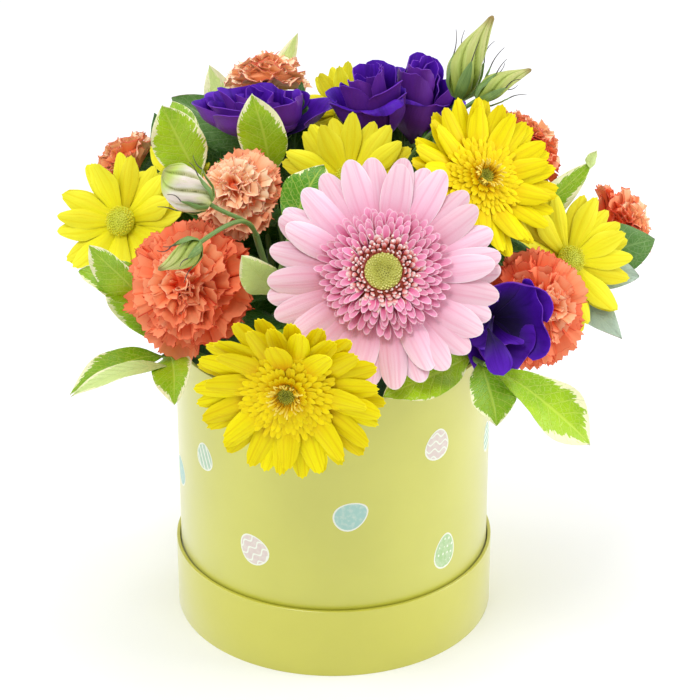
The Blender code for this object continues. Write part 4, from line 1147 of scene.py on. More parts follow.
def carnation_row(k, row, reach, u, v, rng):
    """Sheets of one row of a carnation of radius 1, and the angles that they stand at."""
    count, root, rim, rim_height, half, pale = row
    angles = spaced(count, rng, 0.28, first=k * 0.8)
    round_rim = 1 - 0.16 * column(rng.uniform(0.5, 1.3, count)) * u ** 2
    saw = np.where(np.arange(u.shape[1]) % 2 == 0, 0.0, 1.0)[None, None, :]
    saw = saw * rng.uniform(0.3, 1.0, (count, 1, u.shape[1]))
    along = v * round_rim - 0.045 * saw * v ** 8
    rim_radius = rim * column(rng.uniform(0.9, 1.02, count))
    way, extra = reach if k < 2 else EVEN_REACH
    toward = np.clip(np.cos(angles - math.radians(way)), 0, 1)
    rim_radius = rim_radius * (1 + extra * (1 - 0.4 * k) * column(toward))
    height = rim_height + column(rng.uniform(-0.12, 0.12, count))
    inner = 0.06 + 0.03 * rng.random()
    radius = inner + (rim_radius - inner) * (0.35 * along + 0.65 * along ** 2)
    level = root + (height - root) * (1.55 * along - 0.55 * along ** 2)
    fan = half * (0.16 + 0.84 * along ** 1.25)
    beat = column(rng.uniform(1.2, 2.3, count)) * math.pi
    phase = column(rng.uniform(0, math.tau, count))
    roll = column(rng.uniform(-0.3, 0.3, count))
    crumple = 0.9 + 0.3 * pale
    ruffle = (np.sin(u * beat + phase) * 0.11 * along ** 1.4 + roll * u * half * along
              + np.sin(u * beat * 2.7 + phase * 1.7) * 0.08 * half * along ** 2) * crumple
    pleats = np.sin(u * 7.5 * math.pi + phase) * 0.025 * half * along ** 1.2
    slide = np.sin(2 * (u * beat + phase)) * 0.06 * along ** 2
    tilt = math.atan2(rim_height - root, rim)
    across = u * fan + slide
    out = radius - (ruffle + pleats) * np.sin(tilt)
    rise = level + (ruffle + pleats) * np.cos(tilt) - 0.05 * along ** 4
    return np.stack(np.broadcast_arrays(across, out, rise), -1), angles


def carnation(name, bloom, number, finish):
    """Carnation: rows of fanned petals with pleats, and with ruffled and toothed rims."""
    rng = np.random.default_rng([SEED, number])
    columns, rows = (32, 8) if bloom.radius >= LARGE_CARNATION else (26, 6)
    u, v = net(columns, rows, rounded=False)
    size, paleness = bloom.radius, PALENESS.get(name, 0.0)
    petals = Cuttings()
    for k, row in enumerate(CARNATION_ROWS):
        sheets, angles = carnation_row(k, row, OUTER_REACH.get(name, EVEN_REACH), u, v, rng)
        pale = row[-1]
        pale += paleness * (0.3 + 0.7 * pale)
        tones = np.clip(pale + rng.uniform(-0.2, 0.2, len(angles)), 0, 1)
        petals.add_petals(sheets * size, angles, bloom, u, v, tones, CARNATION_BLADE)
    heart = turned(CARNATION_HEART, 20)
    heart_tone = min(1, max(0, 0.3 * paleness))
    petals.add_skin(face_out(heart * size, bloom), heart_tone, np.full(len(heart), 0.7))
    petals.make(f"{name}_petals", finish["carnation"], "petal_coral", f"{name}_bloom", sharp=80)


# Lisianthus

# The share of its depth where a cup is widest, then its whorls of petals from the outside in: count,
# turn in degrees from the right, share of the flare, share of the depth, half angle in degrees and
# roll of the rim
CUP = (0.62, ((4, 0, 0.98, 0.96, 62, 0.34), (3, 40, 0.80, 1.10, 74, 0.16),
              (3, 80, 0.54, 1.16, 84, 0.06), (2, 20, 0.30, 1.04, 120, 0.0)))
TRUMPET = (0.75, ((1, 50, 1.0, 1.05, 80, 0.12), (1, -5, 1.0, 1.0, 62, 0.2),
                  (1, -80, 1.02, 0.86, 70, 0.5), (1, 190, 0.96, 1.0, 72, 0.1),
                  (1, 150, 0.72, 1.06, 66, -0.16), (1, -110, 0.6, 0.8, 60, 0.2)))
# Flare from which a cup's rim rolls less
WIDE_FLARE = 18
# Small petals that hang out of the low flower, by their roots
LOW_TONGUES = (((73, -88, 198), Leaf(0, (80, -101, 180), 13, (10, 30), 0.12, swell=2.0)),
               ((76, -78, 200), Leaf(0, (64, -86, 189), 14, (-20, 25), 0.1, swell=2.0)))


def cup_belly(share, widest):
    """Radius of a cup at a share of its depth, as a share of its flare."""
    return 0.03 + 0.97 * np.sin(np.clip(share / widest, 0, 1) * math.pi / 2) ** 1.1


def lisianthus_whorl(whorl, cup, widest, waver, u, v, rng):
    """Sheets of one whorl of a lisianthus's cup, and the angles that they stand at."""
    count, turn, flare, depth, half, roll = whorl
    angles = math.radians(turn) + spaced(count, rng, waver)
    phase = column(rng.uniform(0, math.tau, count))
    tall = column(rng.uniform(0.84, 1.04, count))
    share = v * tall * (1 - 0.26 * np.abs(u) ** 3.4 - 0.03 * (1 + np.sin(u * 6 + phase))
                        - 0.012 * np.sin(u * 19 + 2 * phase))
    inside = np.clip(share, 0, 1)
    spread = math.radians(half) * (0.62 + 0.38 * np.sin(inside * math.pi / 2))
    fold = np.sin(u * 3.0 + phase * 1.3) * 0.10 * np.sin(math.pi * inside * 0.8)
    wave = (np.sin(u * 3.4 + phase) * 0.15 + np.sin(u * 8.5 + phase * 2) * 0.05) * share ** 3 + fold
    roll = min(1, WIDE_FLARE / cup.flare) * roll * column(rng.uniform(0.2, 1.6, count))
    curl = roll * ease((share - 0.55) / 0.45) * (0.75 + 0.35 * np.sin(u * 2.2 + phase))
    radius = flare * cup_belly(share, widest) * (1 + 0.08 * u) + wave + curl
    level = depth * share + 0.5 * wave - 0.9 * curl * ease((share - 0.72) / 0.28)
    turn = u * spread + 0.05 * np.sin(v * 6 + phase)
    places = (radius * np.sin(turn) * cup.flare, radius * np.cos(turn) * cup.flare, level * cup.depth)
    return np.stack(np.broadcast_arrays(*places), -1), angles


def lisianthus(name, cup, number, finish):
    """Cup of broad silky petals that lie round each other like a loose rose."""
    rng = np.random.default_rng([SEED, number])
    low = name == "lisianthus_low"
    (widest, whorls), waver = (TRUMPET, 0.03) if low else (CUP, 0.16)
    u, v = net(26, 15)
    petals = Cuttings()
    for whorl in whorls:
        sheets, angles = lisianthus_whorl(whorl, cup, widest, waver, u, v, rng)
        petals.add_petals(sheets, angles, cup, u, v, rng.uniform(0, 1, len(angles)))
    for root, tongue in LOW_TONGUES if low else ():
        sheet = leaf_sheet(u, v, root, tongue, rng, fold=-0.2, blunt=0.5)
        petals.add_blades(sheet[None], u, v, np.array([0.5]))
    petals.make(f"{name}_petals", finish["lisianthus"], "petal_purple", f"{name}_bloom")


# Stems, calyxes and buds

# Calyxes from the stem up: distances behind the head and radii. A carnation's are shares of its
# bloom's radius, and count from its end.
GERBERA_CALYX = ((20.0, 2.6), (14.0, 4.6), (9.0, 6.5), (5.5, 8.4), (3.5, 8.9))
DAISY_CALYX = ((10.0, 1.5), (8.4, 3.0), (6.5, 4.5), (3.5, 5.4))
CUP_CALYX = ((8.0, 1.6), (5.8, 2.6), (4.0, 3.2), (0.4, 3.5))
TUBE_CALYX = ((0.75, 0.06), (0.66, 0.15), (0.55, 0.20), (0.2, 0.23), (0.0, 0.235))


def calyx_of(name):
    """Bloom and its calyx: distances behind the head and radii."""
    if name in GERBERAS:
        return GERBERAS[name], GERBERA_CALYX
    if name in DAISIES:
        return DAISIES[name], DAISY_CALYX
    if name in LISIANTHUS:
        return LISIANTHUS[name], CUP_CALYX
    bloom = CARNATIONS[name]
    end = 0.36 * bloom.radius + 0.4
    return bloom, tuple((end + back * bloom.radius, share * bloom.radius) for back, share in TUBE_CALYX)


# Points on a stem's curve, and on each stretch of a sprig's
STEM_STEPS, SPRIG_STEPS = 14, 5


def curve(start, lean, end, arrival):
    """Stem's curve that leaves one place along its lean and reaches another along its arrival."""
    reach = (end - start).length * 0.4
    return interpolate_bezier(start, start + lean * reach, end - arrival * reach, end, STEM_STEPS)


def smooth_path(points):
    """Curve through every point."""
    ends = [points[0] * 2 - points[1], *points, points[-1] * 2 - points[-2]]
    path = []
    for a, b, c, d in zip(ends, ends[1:], ends[2:], ends[3:]):
        for k in range(SPRIG_STEPS):
            t = k / SPRIG_STEPS
            path.append(0.5 * (2 * b + (c - a) * t + (2 * a - 5 * b + 4 * c - d) * t ** 2
                               + (3 * b - a - 3 * c + d) * t ** 3))
    return path + [points[-1]]


def point_along(path, share):
    """Point at a share of the way along a path's points."""
    place = share * (len(path) - 1)
    k = min(int(place), len(path) - 2)
    return path[k].lerp(path[k + 1], place - k)


# How far a bract stands off its calyx, in mm
BRACT_GAP = 0.35
CALYX_SIDES, CALYX_RIBS, RIB_DEPTH = 20, 5, 0.03


def bract_ring(green, bloom, count, back, root_radius, tip_back, tip_radius, width, rng, bulge=1.0):
    """Pointed bracts that lie along a calyx. Bulge below 1 bows them outwards."""
    u, v = net(4, 6)
    angles = spaced(count, rng, 0.2, first=back)
    reach = root_radius + (tip_radius - root_radius) * v ** bulge + BRACT_GAP
    height = -back + (back - tip_back) * v * column(rng.uniform(0.85, 1.05, count))
    half = width / 2 * (1 - v ** 1.6) ** 0.7 + 0.08
    sheets = np.stack(np.broadcast_arrays(u * half, reach - 0.2 * u * u, height), -1)
    sheets = face_out(round_axis(sheets, angles), bloom)[:, :, ::-1]
    green.add_blades(sheets, u, v, rng.uniform(0, 1, count))


def add_calyx(green, name, rng):
    """Turned calyx behind a bloom with its own kind of bracts."""
    bloom, profile = calyx_of(name)
    ribs = 1 + RIB_DEPTH * np.cos(around(CALYX_SIDES) * CALYX_RIBS)
    rings = turned([(radius, -back) for back, radius in profile], CALYX_SIDES, ribs)
    green.add_skin(face_out(rings, bloom), rng.uniform(0, 1))
    # Bracts: count, place behind the head and radius of their roots, the same of their tips, and width
    if name in GERBERAS:
        bract_ring(green, bloom, 15, 17, 3.2, 6.5, 9.2, 3.0, rng)
        bract_ring(green, bloom, 19, 12, 5.4, 3.4, 12.0, 2.8, rng)
    elif name in DAISIES:
        bract_ring(green, bloom, 11, 9, 2.4, 3.2, 6.6, 2.2, rng)
    elif name in LISIANTHUS:
        widest = (TRUMPET if name == "lisianthus_low" else CUP)[0]
        rim = bloom.flare * cup_belly(5 / bloom.depth, widest) + 0.8
        bract_ring(green, bloom, 5, 5, 2.8, -5.0, rim, 2.6, rng, bulge=0.75)
    else:
        back, radius = profile[-1]
        bract_ring(green, bloom, 5, back + 2.0, radius, back - 3.0, radius + 1.0, 4.4, rng)


# How far a stem reaches into the calyx or bud that it carries, the share of its radius that a forked
# stem's branches have, and a bud's own stem's radius
STEM_OVERLAP, BRANCH_SHARE, BUD_STEM_RADIUS = 1.5, 0.8, 1.1


def stem_paths(stem):
    """Trunk of a stem and its other branches, each with its radius."""
    x, y = stem.place
    foot, start = Vector((x, y, FOAM_TOP - STEM_DEPTH)), Vector((x, y, FOAM_TOP))
    paths, trunk, lean = [], None, UP
    if stem.fork:
        fork = Vector(stem.fork)
        onward = (fork - start).normalized()
        trunk = curve(start, UP, fork + onward * STEM_OVERLAP, onward)
        paths.append(([foot, *trunk], stem.radius))
        start, lean = fork, onward
    slim = stem.radius * (BRANCH_SHARE if stem.fork else 1.0)
    for name in stem.blooms:
        bloom, profile = calyx_of(name)
        out = direction(bloom.azimuth, bloom.elevation)
        socket = Vector(bloom.head) - out * (profile[0][0] - STEM_OVERLAP)
        branch = curve(start, lean, socket, out)
        paths.append((branch if trunk else [foot, *branch], slim))
        trunk = trunk or branch
    for bud in stem.buds:
        socket = Vector(bud.foot)
        onward = (Vector(bud.tip) - socket).normalized()
        branch = curve(start, lean, socket + onward * STEM_OVERLAP, onward)
        paths.append((branch, BUD_STEM_RADIUS))
    return trunk, paths


# Buds from foot to tip, as shares of their length and radius, and how wide their sepals are, as a
# share of the radius
SLIM_BUD = (((0.0, 0.25), (0.12, 0.8), (0.32, 1.0), (0.6, 0.72), (0.85, 0.32), (1.0, 0.14)), 0.3)
FAT_BUD = (((0.0, 0.3), (0.12, 0.75), (0.4, 1.02), (0.7, 1.05), (0.86, 0.8), (0.95, 0.4), (1.0, 0.2)),
           0.14)
BUD_FOLDS, BUD_TWIST = 6, 2.0
BUD_SEPALS, SEPAL_REACH = 5, 0.46
# Rings of a bud and points round each
BUD_RINGS, BUD_SIDES = 31, 72


def bud_frame(bud):
    """A bud's foot, length and own three axes."""
    foot, tip = np.array(bud.foot, float), np.array(bud.tip, float)
    axis = unit(tip - foot)
    side = unit(np.cross(axis, (0.2, 1, 0.1)))
    return foot, np.linalg.norm(tip - foot), axis, side, np.cross(axis, side)


def furled_bud(skin, green, hairs, bud, rng, shape, sepal):
    """Bud of petals furled in a spiral, with keeled sepals at its foot that end in dark hairs."""
    foot, length, axis, side, across = bud_frame(bud)
    shares, angles = np.linspace(0, 1, BUD_RINGS), around(BUD_SIDES)
    sizes = np.interp(shares, *zip(*shape))
    sizes = np.convolve(np.pad(sizes, 2, mode="edge"), np.ones(5) / 5, mode="valid")
    sizes[-1] = 0.06
    twist = np.mod(angles[None, :] * BUD_FOLDS / math.tau + shares[:, None] * BUD_TWIST, 1.0)
    groove = np.abs(2 * twist - 1) ** 3 * ease(shares[:, None] / 0.15)
    radius = bud.radius * sizes[:, None] * (1 - 0.2 * groove - 0.1 * twist)
    bow = 0.05 * length * np.sin(shares * math.pi * 1.3)
    circle = np.cos(angles)[None, :, None] * side + np.sin(angles)[None, :, None] * across
    rings = (foot + shares[:, None, None] * length * axis + bow[:, None, None] * side
             + radius[..., None] * circle)
    # The tone falls to 0 in each groove, a darker green that is partly painted shade at the overlap
    # steps
    skin.add_skin(rings, 1 - groove, shares)
    u, v = net(4, 10)
    for k in range(BUD_SEPALS):
        angle = math.tau * k / BUD_SEPALS + 0.3
        out = math.cos(angle) * side + math.sin(angle) * across
        tangent = np.cross(axis, out)
        reach = v * SEPAL_REACH
        pointed = np.sin(math.pi * np.clip(0.22 + 0.78 * v, 0, 1)) ** 0.8
        wide = sepal * bud.radius * pointed + 0.12
        stand = bud.radius * np.interp(reach, *zip(*shape)) + 0.4 + 1.2 * ease((v - 0.7) / 0.3)
        keel = 0.7 * (1 - np.abs(u)) * (1 - 0.5 * v)
        points = (foot + (reach * length)[..., None] * axis + (stand + keel)[..., None] * out
                  + (u * wide)[..., None] * tangent)
        green.add_blades(points[None, :, ::-1], u, v, np.array([rng.uniform(0, 1)]))
        curl = np.linspace(0, 1, 8)
        swing = rng.uniform(-2.5, 2.5)
        hair = (points[-1, 2] + np.outer(curl * length * 0.26, axis) + np.outer(curl ** 2 * 3.2, out)
                + np.outer(np.sin(curl * 2.6) * swing, tangent))
        rings = tube_rings(hair, np.linspace(0.34, 0.14, 8), THREAD_SIDES)
        hairs.add_skin(rings, rng.uniform(0, 1))


def leaf_sheet(u, v, root, leaf, rng, fold=0.28, blunt=0.8):
    """Sheet of one leaf: arched, folded a little along its midrib and wavy at its edge."""
    root, tip = np.array(root, float), np.array(leaf.tip, float)
    span = tip - root
    length = np.linalg.norm(span)
    side = unit(np.cross(span, np.array(direction(*leaf.face))))
    normal = unit(np.cross(side, span))
    outline = np.sin(math.pi * v ** leaf.swell) ** blunt
    half = leaf.width / 2 * np.maximum(outline, 0.07 * (1 - v) + 0.012)
    phase = rng.uniform(0, math.tau)
    bend = 4 * v * (1 - v) * leaf.arch * length
    edge = np.abs(u)
    ripple = 0.09 * leaf.width / 2 * edge ** 2 * np.sin(v * 13 + phase + 1.5 * np.sign(u))
    veins = 0.012 * leaf.width * np.abs(np.sin((v * 9 - edge * 2) * math.pi)) * np.sin(math.pi * v)
    crease = -0.5 * np.exp(-(u / 0.10) ** 2) * np.sin(math.pi * v)
    folded = fold * half * (edge ** 1.4 - 0.5) * np.sin(math.pi * v)
    lift = bend + folded + ripple + veins + crease
    sway = 0.04 * length * np.sin(v * math.pi) * rng.uniform(-1, 1)
    lateral = u * half + sway
    return root + v[..., None] * span + lateral[..., None] * side + lift[..., None] * normal


def add_leaves(name, roots, finish, slot, node, number, fine=True):
    """Leaves of one stem as one piece. Roots pairs each leaf with its place on the stem."""
    rng = np.random.default_rng([SEED, number])
    u, v = net(12, 20) if fine else net(8, 12)
    blades = Cuttings()
    for root, leaf in roots:
        sheet = leaf_sheet(u, v, root, leaf, rng)
        if leaf.turned:
            sheet = sheet[:, ::-1]
        chance = rng.uniform(0.2, 0.7)
        age = chance if leaf.age is None else leaf.age
        blades.add_blades(sheet[None], u, v, np.array([age]))
    blades.make(name, finish, slot, node)


# Low leaves: their shares of the way along a branch, the lowest and highest places for their roots,
# and how far inside the outermost bloom their tips stay, unless they are nearer than the least limit
LOW_LEAF_SHARES = (0.32, 0.5, 0.66)
LOW_LEAF_BOTTOM, LOW_LEAF_TOP = FOAM_TOP + 6, 212
INSIDE_BLOOMS, LEAST_LIMIT = 14, 64
# More dark leaves that close the gaps between the flowers, each with the branch that it grows on
GAP_LEAVES = {
    "daisy_left_stem": ((0, Leaf(0.9, (-83, 25, 222), 26, (-10, 30), 0.06)),),
    "daisy_top_stem": ((0, Leaf(0.9, (-26, -6, 214), 26, (0, 40), 0.06)),),
    "gerbera_right_stem": ((0, Leaf(0.5, (100, 4, 196), 22, (0, 40), 0.06)),),
    "lisianthus_left_stem": ((0, Leaf(0.6, (-16, 64, 263), 24, (0, 30), 0.06)),),
    "lisianthus_top_stem": ((0, Leaf(0.9, (61, 56, 254), 24, (0, 30), 0.06)),
                            (2, Leaf(0.9, (30, 73, 243), 20, (0, 30), 0.06))),
    "carnation_spray_left_stem": ((0, Leaf(0.8, (-27, 6, 224), 24, (10, 40), 0.05)),
                                  (0, Leaf(0.9, (-65, 20, 205), 26, (-10, 35), 0.05)),
                                  (2, Leaf(0.3, (-74, 69, 224), 26, (-10, 35), 0.05)),
                                  (3, Leaf(0.9, (-96, 78, 220), 24, (-20, 30), 0.05)),
                                  (2, Leaf(0.7, (-84, 84, 247), 25, (-20, 40), 0.08, skin="dull_leaf")),
                                  (3, Leaf(0.6, (-93, 80, 240), 20, (-30, 30), 0.06)),
                                  (2, Leaf(0.6, (-19, 115, 271), 14, (180, 20), 0.12, 0.0, 1.5,
                                           skin="variegated_leaf")),
                                  (3, Leaf(0.35, (-65, 102, 258), 21, (180, 20), 0.1, 0.0, 1.9,
                                           skin="variegated_leaf"))),
}


def low_leaves(name, stem, paths, rng):
    """Short leaves low on a stem, under its flowers. They close the gaps and stay inside the dome."""
    gap_leaves = GAP_LEAVES.get(name, ())
    roots = [(point_along(paths[branch], leaf.share), leaf) for branch, leaf in gap_leaves]
    heads = [calyx_of(bloom)[0].head for bloom in stem.blooms] + [bud.foot for bud in stem.buds]
    limit = max(LEAST_LIMIT, max(math.hypot(*head[:2]) for head in heads) - INSIDE_BLOOMS)
    azimuth = rng.uniform(0, 360)
    for path in paths[:3]:
        for share in LOW_LEAF_SHARES:
            root = point_along(path, share)
            if not LOW_LEAF_BOTTOM < root.z < LOW_LEAF_TOP:
                continue
            azimuth += GOLDEN_DEGREES
            reach, rise = rng.uniform(26, 36), rng.uniform(-5, 30)
            tip = root + direction(azimuth, rise) * reach
            if math.hypot(tip.x, tip.y) > limit:
                azimuth += 180
                tip = root + direction(azimuth, rise) * reach
            face = (azimuth + rng.uniform(-40, 40), 72)
            roots.append((root, Leaf(share, tuple(tip), rng.uniform(17, 22), face, 0.12)))
    return roots


# Materials of a flower stem's leaves, with the endings of their pieces' names
STEM_LEAVES = {"deep_leaf": "leaves", "dull_leaf": "dull_leaves", "variegated_leaf": "young_leaves"}
STEM_SIDES = 12


def add_stem(name, stem, number, finish):
    """One stem or spray: its tubes, calyxes and sepals, then its buds and its leaves."""
    rng = np.random.default_rng([SEED, number])
    plant, slot = name.removesuffix("_stem"), "stem_green"
    trunk, paths = stem_paths(stem)
    green = Cuttings()
    for path, radius in paths:
        green.add_skin(tube_rings([tuple(p) for p in path], radius, STEM_SIDES), rng.uniform(0, 1))
    for bloom_name in stem.blooms:
        add_calyx(green, bloom_name, rng)
    if stem.buds:
        buds, hairs = Cuttings(), Cuttings()
        for bud in stem.buds:
            if bud is PALE_BUD:
                pale = Cuttings()
                furled_bud(pale, green, hairs, bud, rng, *FAT_BUD)
                pale.make(f"{plant}_pale_bud", finish["pale_bud"], slot, name)
            else:
                furled_bud(buds, green, hairs, bud, rng, *SLIM_BUD)
        buds.make(f"{plant}_buds", finish["bud"], slot, name)
        hairs.make(f"{plant}_hairs", finish["hair"], slot, name)
    green.make(f"{plant}_stalk", finish["stem"], slot, name)
    roots = [(point_along(trunk, leaf.share), leaf) for leaf in stem.leaves]
    roots += low_leaves(name, stem, [path for path, radius in paths], rng)
    roots += FOLDED_EDGES.get(name, ())
    for skin, ending in STEM_LEAVES.items():
        chosen = [(root, leaf) for root, leaf in roots if leaf.skin == skin]
        if chosen:
            add_leaves(f"{plant}_{ending}", chosen, finish[skin], slot, name, number + LEAF_SEEDS,
                       fine=skin != "deep_leaf")


def add_sprig(name, sprig, number, finish):
    """Leafy sprig: its twig and its leaves."""
    rng = np.random.default_rng([SEED, number])
    x, y = sprig.place
    path = smooth_path([Vector((x, y, FOAM_TOP)), *[Vector(point) for point in sprig.via]])
    slot, skin = "leaf_variegated", "variegated_leaf"
    if name in DULL_SPRIGS:
        slot, skin = "leaf_dull", "dull_leaf"
    twig = Cuttings()
    points = [(x, y, FOAM_TOP - STEM_DEPTH)] + [tuple(p) for p in path]
    twig.add_skin(tube_rings(points, sprig.radius, STEM_SIDES), rng.uniform(0, 1))
    twig.make(f"{name}_twig", finish["stem"], slot, name)
    roots = [(point_along(path, leaf.share), leaf) for leaf in sprig.leaves]
    roots += FOLDED_EDGES.get(name, ())
    add_leaves(f"{name}_leaves", roots, finish[skin], slot, name, number + LEAF_SEEDS)


# Holder

CUP_SIDES = 192
# The underside's recess: how wide its rim is and how deep it is
RECESS_RIM, RECESS_DEPTH = 9, 0.4
# Softened paper edges at the rim and at the foot
RIM_BEVEL, FOOT_BEVEL = 0.5, 0.4
SMOOTH_ANGLE = 32
# How near to a plane a point counts as on it, in metres
NEAR = 1e-6


def pick(cup, kind, test):
    """In edit mode, select only the faces or edges that pass a test."""
    bpy.ops.mesh.select_mode(type=kind)
    bpy.ops.mesh.select_all(action="DESELECT")
    bm = bmesh.from_edit_mesh(cup.data)
    for part in (bm.faces if kind == "FACE" else bm.edges):
        if test(part):
            part.select_set(True)
    bmesh.update_edit_mesh(cup.data)


def at_height(edge, height):
    """Whether an edge lies at a height, in mm."""
    return all(abs(vert.co.z - height * MM) < NEAR for vert in edge.verts)


def is_round(edge):
    """Whether an edge's two ends are as far from the axis."""
    near, far = (vert.co.xy.length for vert in edge.verts)
    return abs(near - far) < NEAR


def is_outermost(edge, radius):
    """Whether an edge lies at the outside of a cup of the given radius, in mm."""
    return all(vert.co.xy.length > (radius - 0.1) * MM for vert in edge.verts)


def paper_cup(name, radius, base, rim, material, slot):
    """Round card cup: a cylinder hollowed by inset and extrusion, with softened paper edges."""
    bpy.ops.object.select_all(action="DESELECT")
    bpy.ops.mesh.primitive_cylinder_add(vertices=CUP_SIDES, radius=radius * MM, depth=(rim - base) * MM,
                                        location=(0, 0, (rim + base) / 2 * MM))
    cup = bpy.context.object
    cup.name = name
    bpy.ops.object.transform_apply(location=True, rotation=True, scale=True)
    bpy.ops.object.mode_set(mode="EDIT")
    pick(cup, "FACE", lambda face: face.normal.z > 0.9)
    bpy.ops.mesh.inset(thickness=CARD * MM)
    down = (0, 0, (base + CARD - rim) * MM)
    bpy.ops.mesh.extrude_region_move(TRANSFORM_OT_translate={"value": down})
    pick(cup, "FACE", lambda face: face.normal.z < -0.9)
    bpy.ops.mesh.inset(thickness=RECESS_RIM * MM)
    bpy.ops.transform.translate(value=(0, 0, RECESS_DEPTH * MM))
    pick(cup, "EDGE", lambda edge: at_height(edge, rim) and is_round(edge))
    bpy.ops.mesh.bevel(offset=RIM_BEVEL * MM, segments=3, profile=0.6)
    pick(cup, "EDGE", lambda edge: at_height(edge, base) and is_outermost(edge, radius))
    bpy.ops.mesh.bevel(offset=FOOT_BEVEL * MM, segments=2, profile=0.6)
    bpy.ops.object.mode_set(mode="OBJECT")
    bpy.ops.object.shade_smooth_by_angle(angle=math.radians(SMOOTH_ANGLE))
    cup.data.materials.append(material)
    dress(cup, slot, name.removeprefix("paper_"))


# Little printed eggs round the box: the ground's colour, then each egg's azimuth in degrees, height,
# width, length and lean in degrees
EGGS = {
    "stripes": ((176, 206, 178), ((-53, 107.5, 13, 15, 6), (98, 66, 13, 16, -24),
                                  (-172, 60, 13, 16, 25), (-100, 64, 13, 15, 8))),
    "waves": ((219, 203, 196), ((40, 121.5, 15, 17, -10), (-29.5, 66.8, 15.5, 18, 38),
                                (150, 118, 14, 17, 12), (-128, 116, 14, 17, -30))),
    "plain": ((164, 206, 196), ((6.5, 91.5, 15, 18.5, -60), (-152, 92, 14, 17, 20),
                                (128, 82, 14, 17, 40), (-76, 84, 14, 17, 50))),
    "dots": ((172, 206, 146), ((44.5, 58.5, 14, 20, -8), (-122, 60, 13, 17, 15),
                               (160, 56, 13, 17, -10), (-172, 122, 13, 16, 0))),
    "bands": ((150, 196, 170), ((77, 103, 14, 17, 10), (114, 122, 14, 17, -14),
                                (-98, 124, 13, 16, 24))),
}
EGG_FLECKS, EGG_LINES, EGG_OUTLINE = (235, 235, 220), (236, 240, 226), (238, 240, 226)
# An egg's outline starts and is full at these shares of the way from its middle
OUTLINE_START, OUTLINE_FULL = 0.89, 0.93


def wave_along(tree, value, scale):
    """Sine of a value, at a scale."""
    return calc(tree, "SINE", times(tree, value, scale))


def egg_pattern(tree, kind):
    """Mask of an egg's printed lines, by its own flat places."""
    flat, across, along = flat_places(tree)
    x, y = minus(tree, across, 0.5), minus(tree, along, 0.5)
    if kind == "bands":
        return band(tree, wave_along(tree, y, 30.0), 0.2, 0.5)
    if kind == "stripes":
        slant = plus(tree, times(tree, x, 26.0), times(tree, y, 9.0))
        return band(tree, calc(tree, "SINE", slant), 0.45, 0.7)
    if kind == "waves":
        ripple = times(tree, wave_along(tree, x, 15.0), 1.5)
        crest = calc(tree, "SINE", plus(tree, times(tree, y, 26.0), ripple))
        return band(tree, crest, 0.7, 0.88)
    if kind == "dots":
        cells = put(tree, "TexVoronoi", {"Vector": flat, "Scale": 5.0, "Randomness": 0.25})
        return band(tree, cells.outputs["Distance"], 0.24, 0.16)
    return band(tree, grain(tree, flat, 6.0), 0.55, 0.8, 0.0, 0.3)


def egg_finish(name, ground, kind):
    """Printed egg: a pastel ground with fine pale lines and a pale outline."""
    material, tree, shader = new_material(name, 0.45)
    place = own_places(tree)
    flecks = band(tree, grain(tree, place, 500.0), 0.4, 0.7, 0.0, 0.3)
    colour = blend(tree, flecks, ground, EGG_FLECKS)
    colour = blend(tree, egg_pattern(tree, kind), colour, EGG_LINES)
    rim = band(tree, kept_value(tree, "tone"), OUTLINE_START, OUTLINE_FULL)
    colour = blend(tree, rim, colour, EGG_OUTLINE)
    paint(tree, shader, colour, grain(tree, place, 900.0), PAPER_RELIEF)
    return material


# How far a printed egg's face stands off the box and its back lies inside it, in mm
EGG_FACE, EGG_BACK = 0.08, 0.05
EGG_SIDES = 28


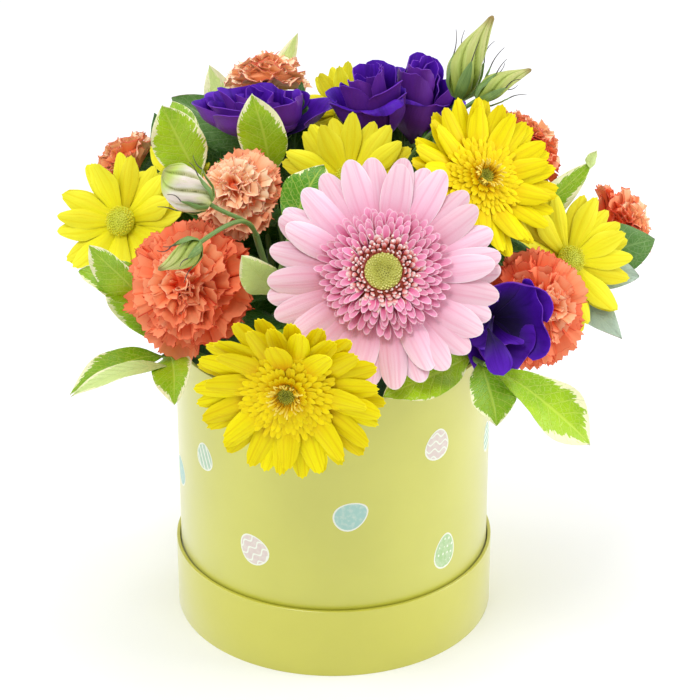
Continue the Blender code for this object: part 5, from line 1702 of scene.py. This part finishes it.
def egg_patch(patches, azimuth, height, width, length, lean):
    """One egg's outline, wrapped on the side of the box."""
    shares = np.array([0.0, 0.3, 0.6, OUTLINE_START, OUTLINE_FULL, 1.0])
    angles = around(EGG_SIDES)
    x = np.outer(shares, np.cos(angles)) * width / 2
    y = np.outer(shares, np.sin(angles)) * length / 2
    x = x * (1 - 0.2 * y / (length / 2))
    tilt = math.radians(lean)
    across = x * math.cos(tilt) - y * math.sin(tilt)
    up = x * math.sin(tilt) + y * math.cos(tilt)
    turn = math.radians(azimuth) + across / BODY_RADIUS

    def wrap(radius):
        return np.stack([radius * np.sin(turn), -radius * np.cos(turn), height + up], -1)

    front, back = wrap(BODY_RADIUS + EGG_FACE), wrap(BODY_RADIUS - EGG_BACK)
    points = np.concatenate([front[1:].reshape(-1, 3), back[-1], [front[0, 0], back[0, 0]]])
    rows = len(shares) - 1
    index = np.arange(rows * EGG_SIDES).reshape(rows, EGG_SIDES)
    after = np.roll(index, -1, axis=1)
    faces = np.stack([index[:-1], index[1:], after[1:], after[:-1]], -1).reshape(-1, 4).tolist()
    middle = (rows + 1) * EGG_SIDES
    behind = middle + 1
    low = index[-1] + EGG_SIDES
    low_after = np.roll(low, -1)
    for k in range(EGG_SIDES):
        faces.append([middle, int(index[0, k]), int(after[0, k])])
        faces.append([int(index[-1, k]), int(low[k]), int(low_after[k]), int(after[-1, k])])
        faces.append([behind, int(low_after[k]), int(low[k])])
    faces = [[corner + patches.count for corner in face] for face in faces]
    flat = np.stack([0.5 + x / width, 0.5 + y / length], -1)
    centre = [0.5, 0.5]
    places = np.concatenate([flat[1:].reshape(-1, 2), flat[-1], [centre, centre]])
    tones = np.concatenate([np.repeat(shares[1:], EGG_SIDES), np.ones(EGG_SIDES), [0.0, 0.0]])
    patches.add(points, faces, places, tones, np.ones(len(points)))


def print_eggs():
    """Scatter the printed eggs all round the box."""
    for kind, (ground, spots) in EGGS.items():
        patches = Cuttings()
        for spot in spots:
            egg_patch(patches, *spot)
        patches.make(f"printed_eggs_{kind}", egg_finish(f"egg_{kind}", ground, kind), "body_card")


def main():
    """Dress every node of the part."""
    set_camera()
    set_lights()
    lay_floor(floor_finish())
    finish = make_finishes()
    paper = paper_grain_group()
    body_paper = paper_finish("body_paper", paper, (200, 199, 59), (194, 193, 52))
    lid_paper = paper_finish("lid_paper", paper, (200, 197, 42), (194, 191, 36))
    paper_cup("paper_box_body", BODY_RADIUS, BODY_BASE, BODY_RIM, body_paper, "body_card")
    paper_cup("paper_lid", LID_RADIUS, 0, LID_RIM, lid_paper, "lid_card")
    print_eggs()
    for node, material in (("liner", film_finish()), ("floral_foam", foam_finish())):
        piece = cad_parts[node]
        piece.data.materials.clear()
        piece.data.materials.append(material)
    pink_gerbera(finish)
    for number, name in enumerate(YELLOW_GERBERAS, GERBERA_SEEDS):
        yellow_gerbera(name, finish, number)
    for table, make, first in ((DAISIES, daisy, DAISY_SEEDS), (CARNATIONS, carnation, CARNATION_SEEDS),
                               (LISIANTHUS, lisianthus, LISIANTHUS_SEEDS),
                               (STEMS, add_stem, STEM_SEEDS), (SPRIGS, add_sprig, SPRIG_SEEDS)):
        for number, (name, facts) in enumerate(table.items(), first):
            make(name, facts, number, finish)


main()
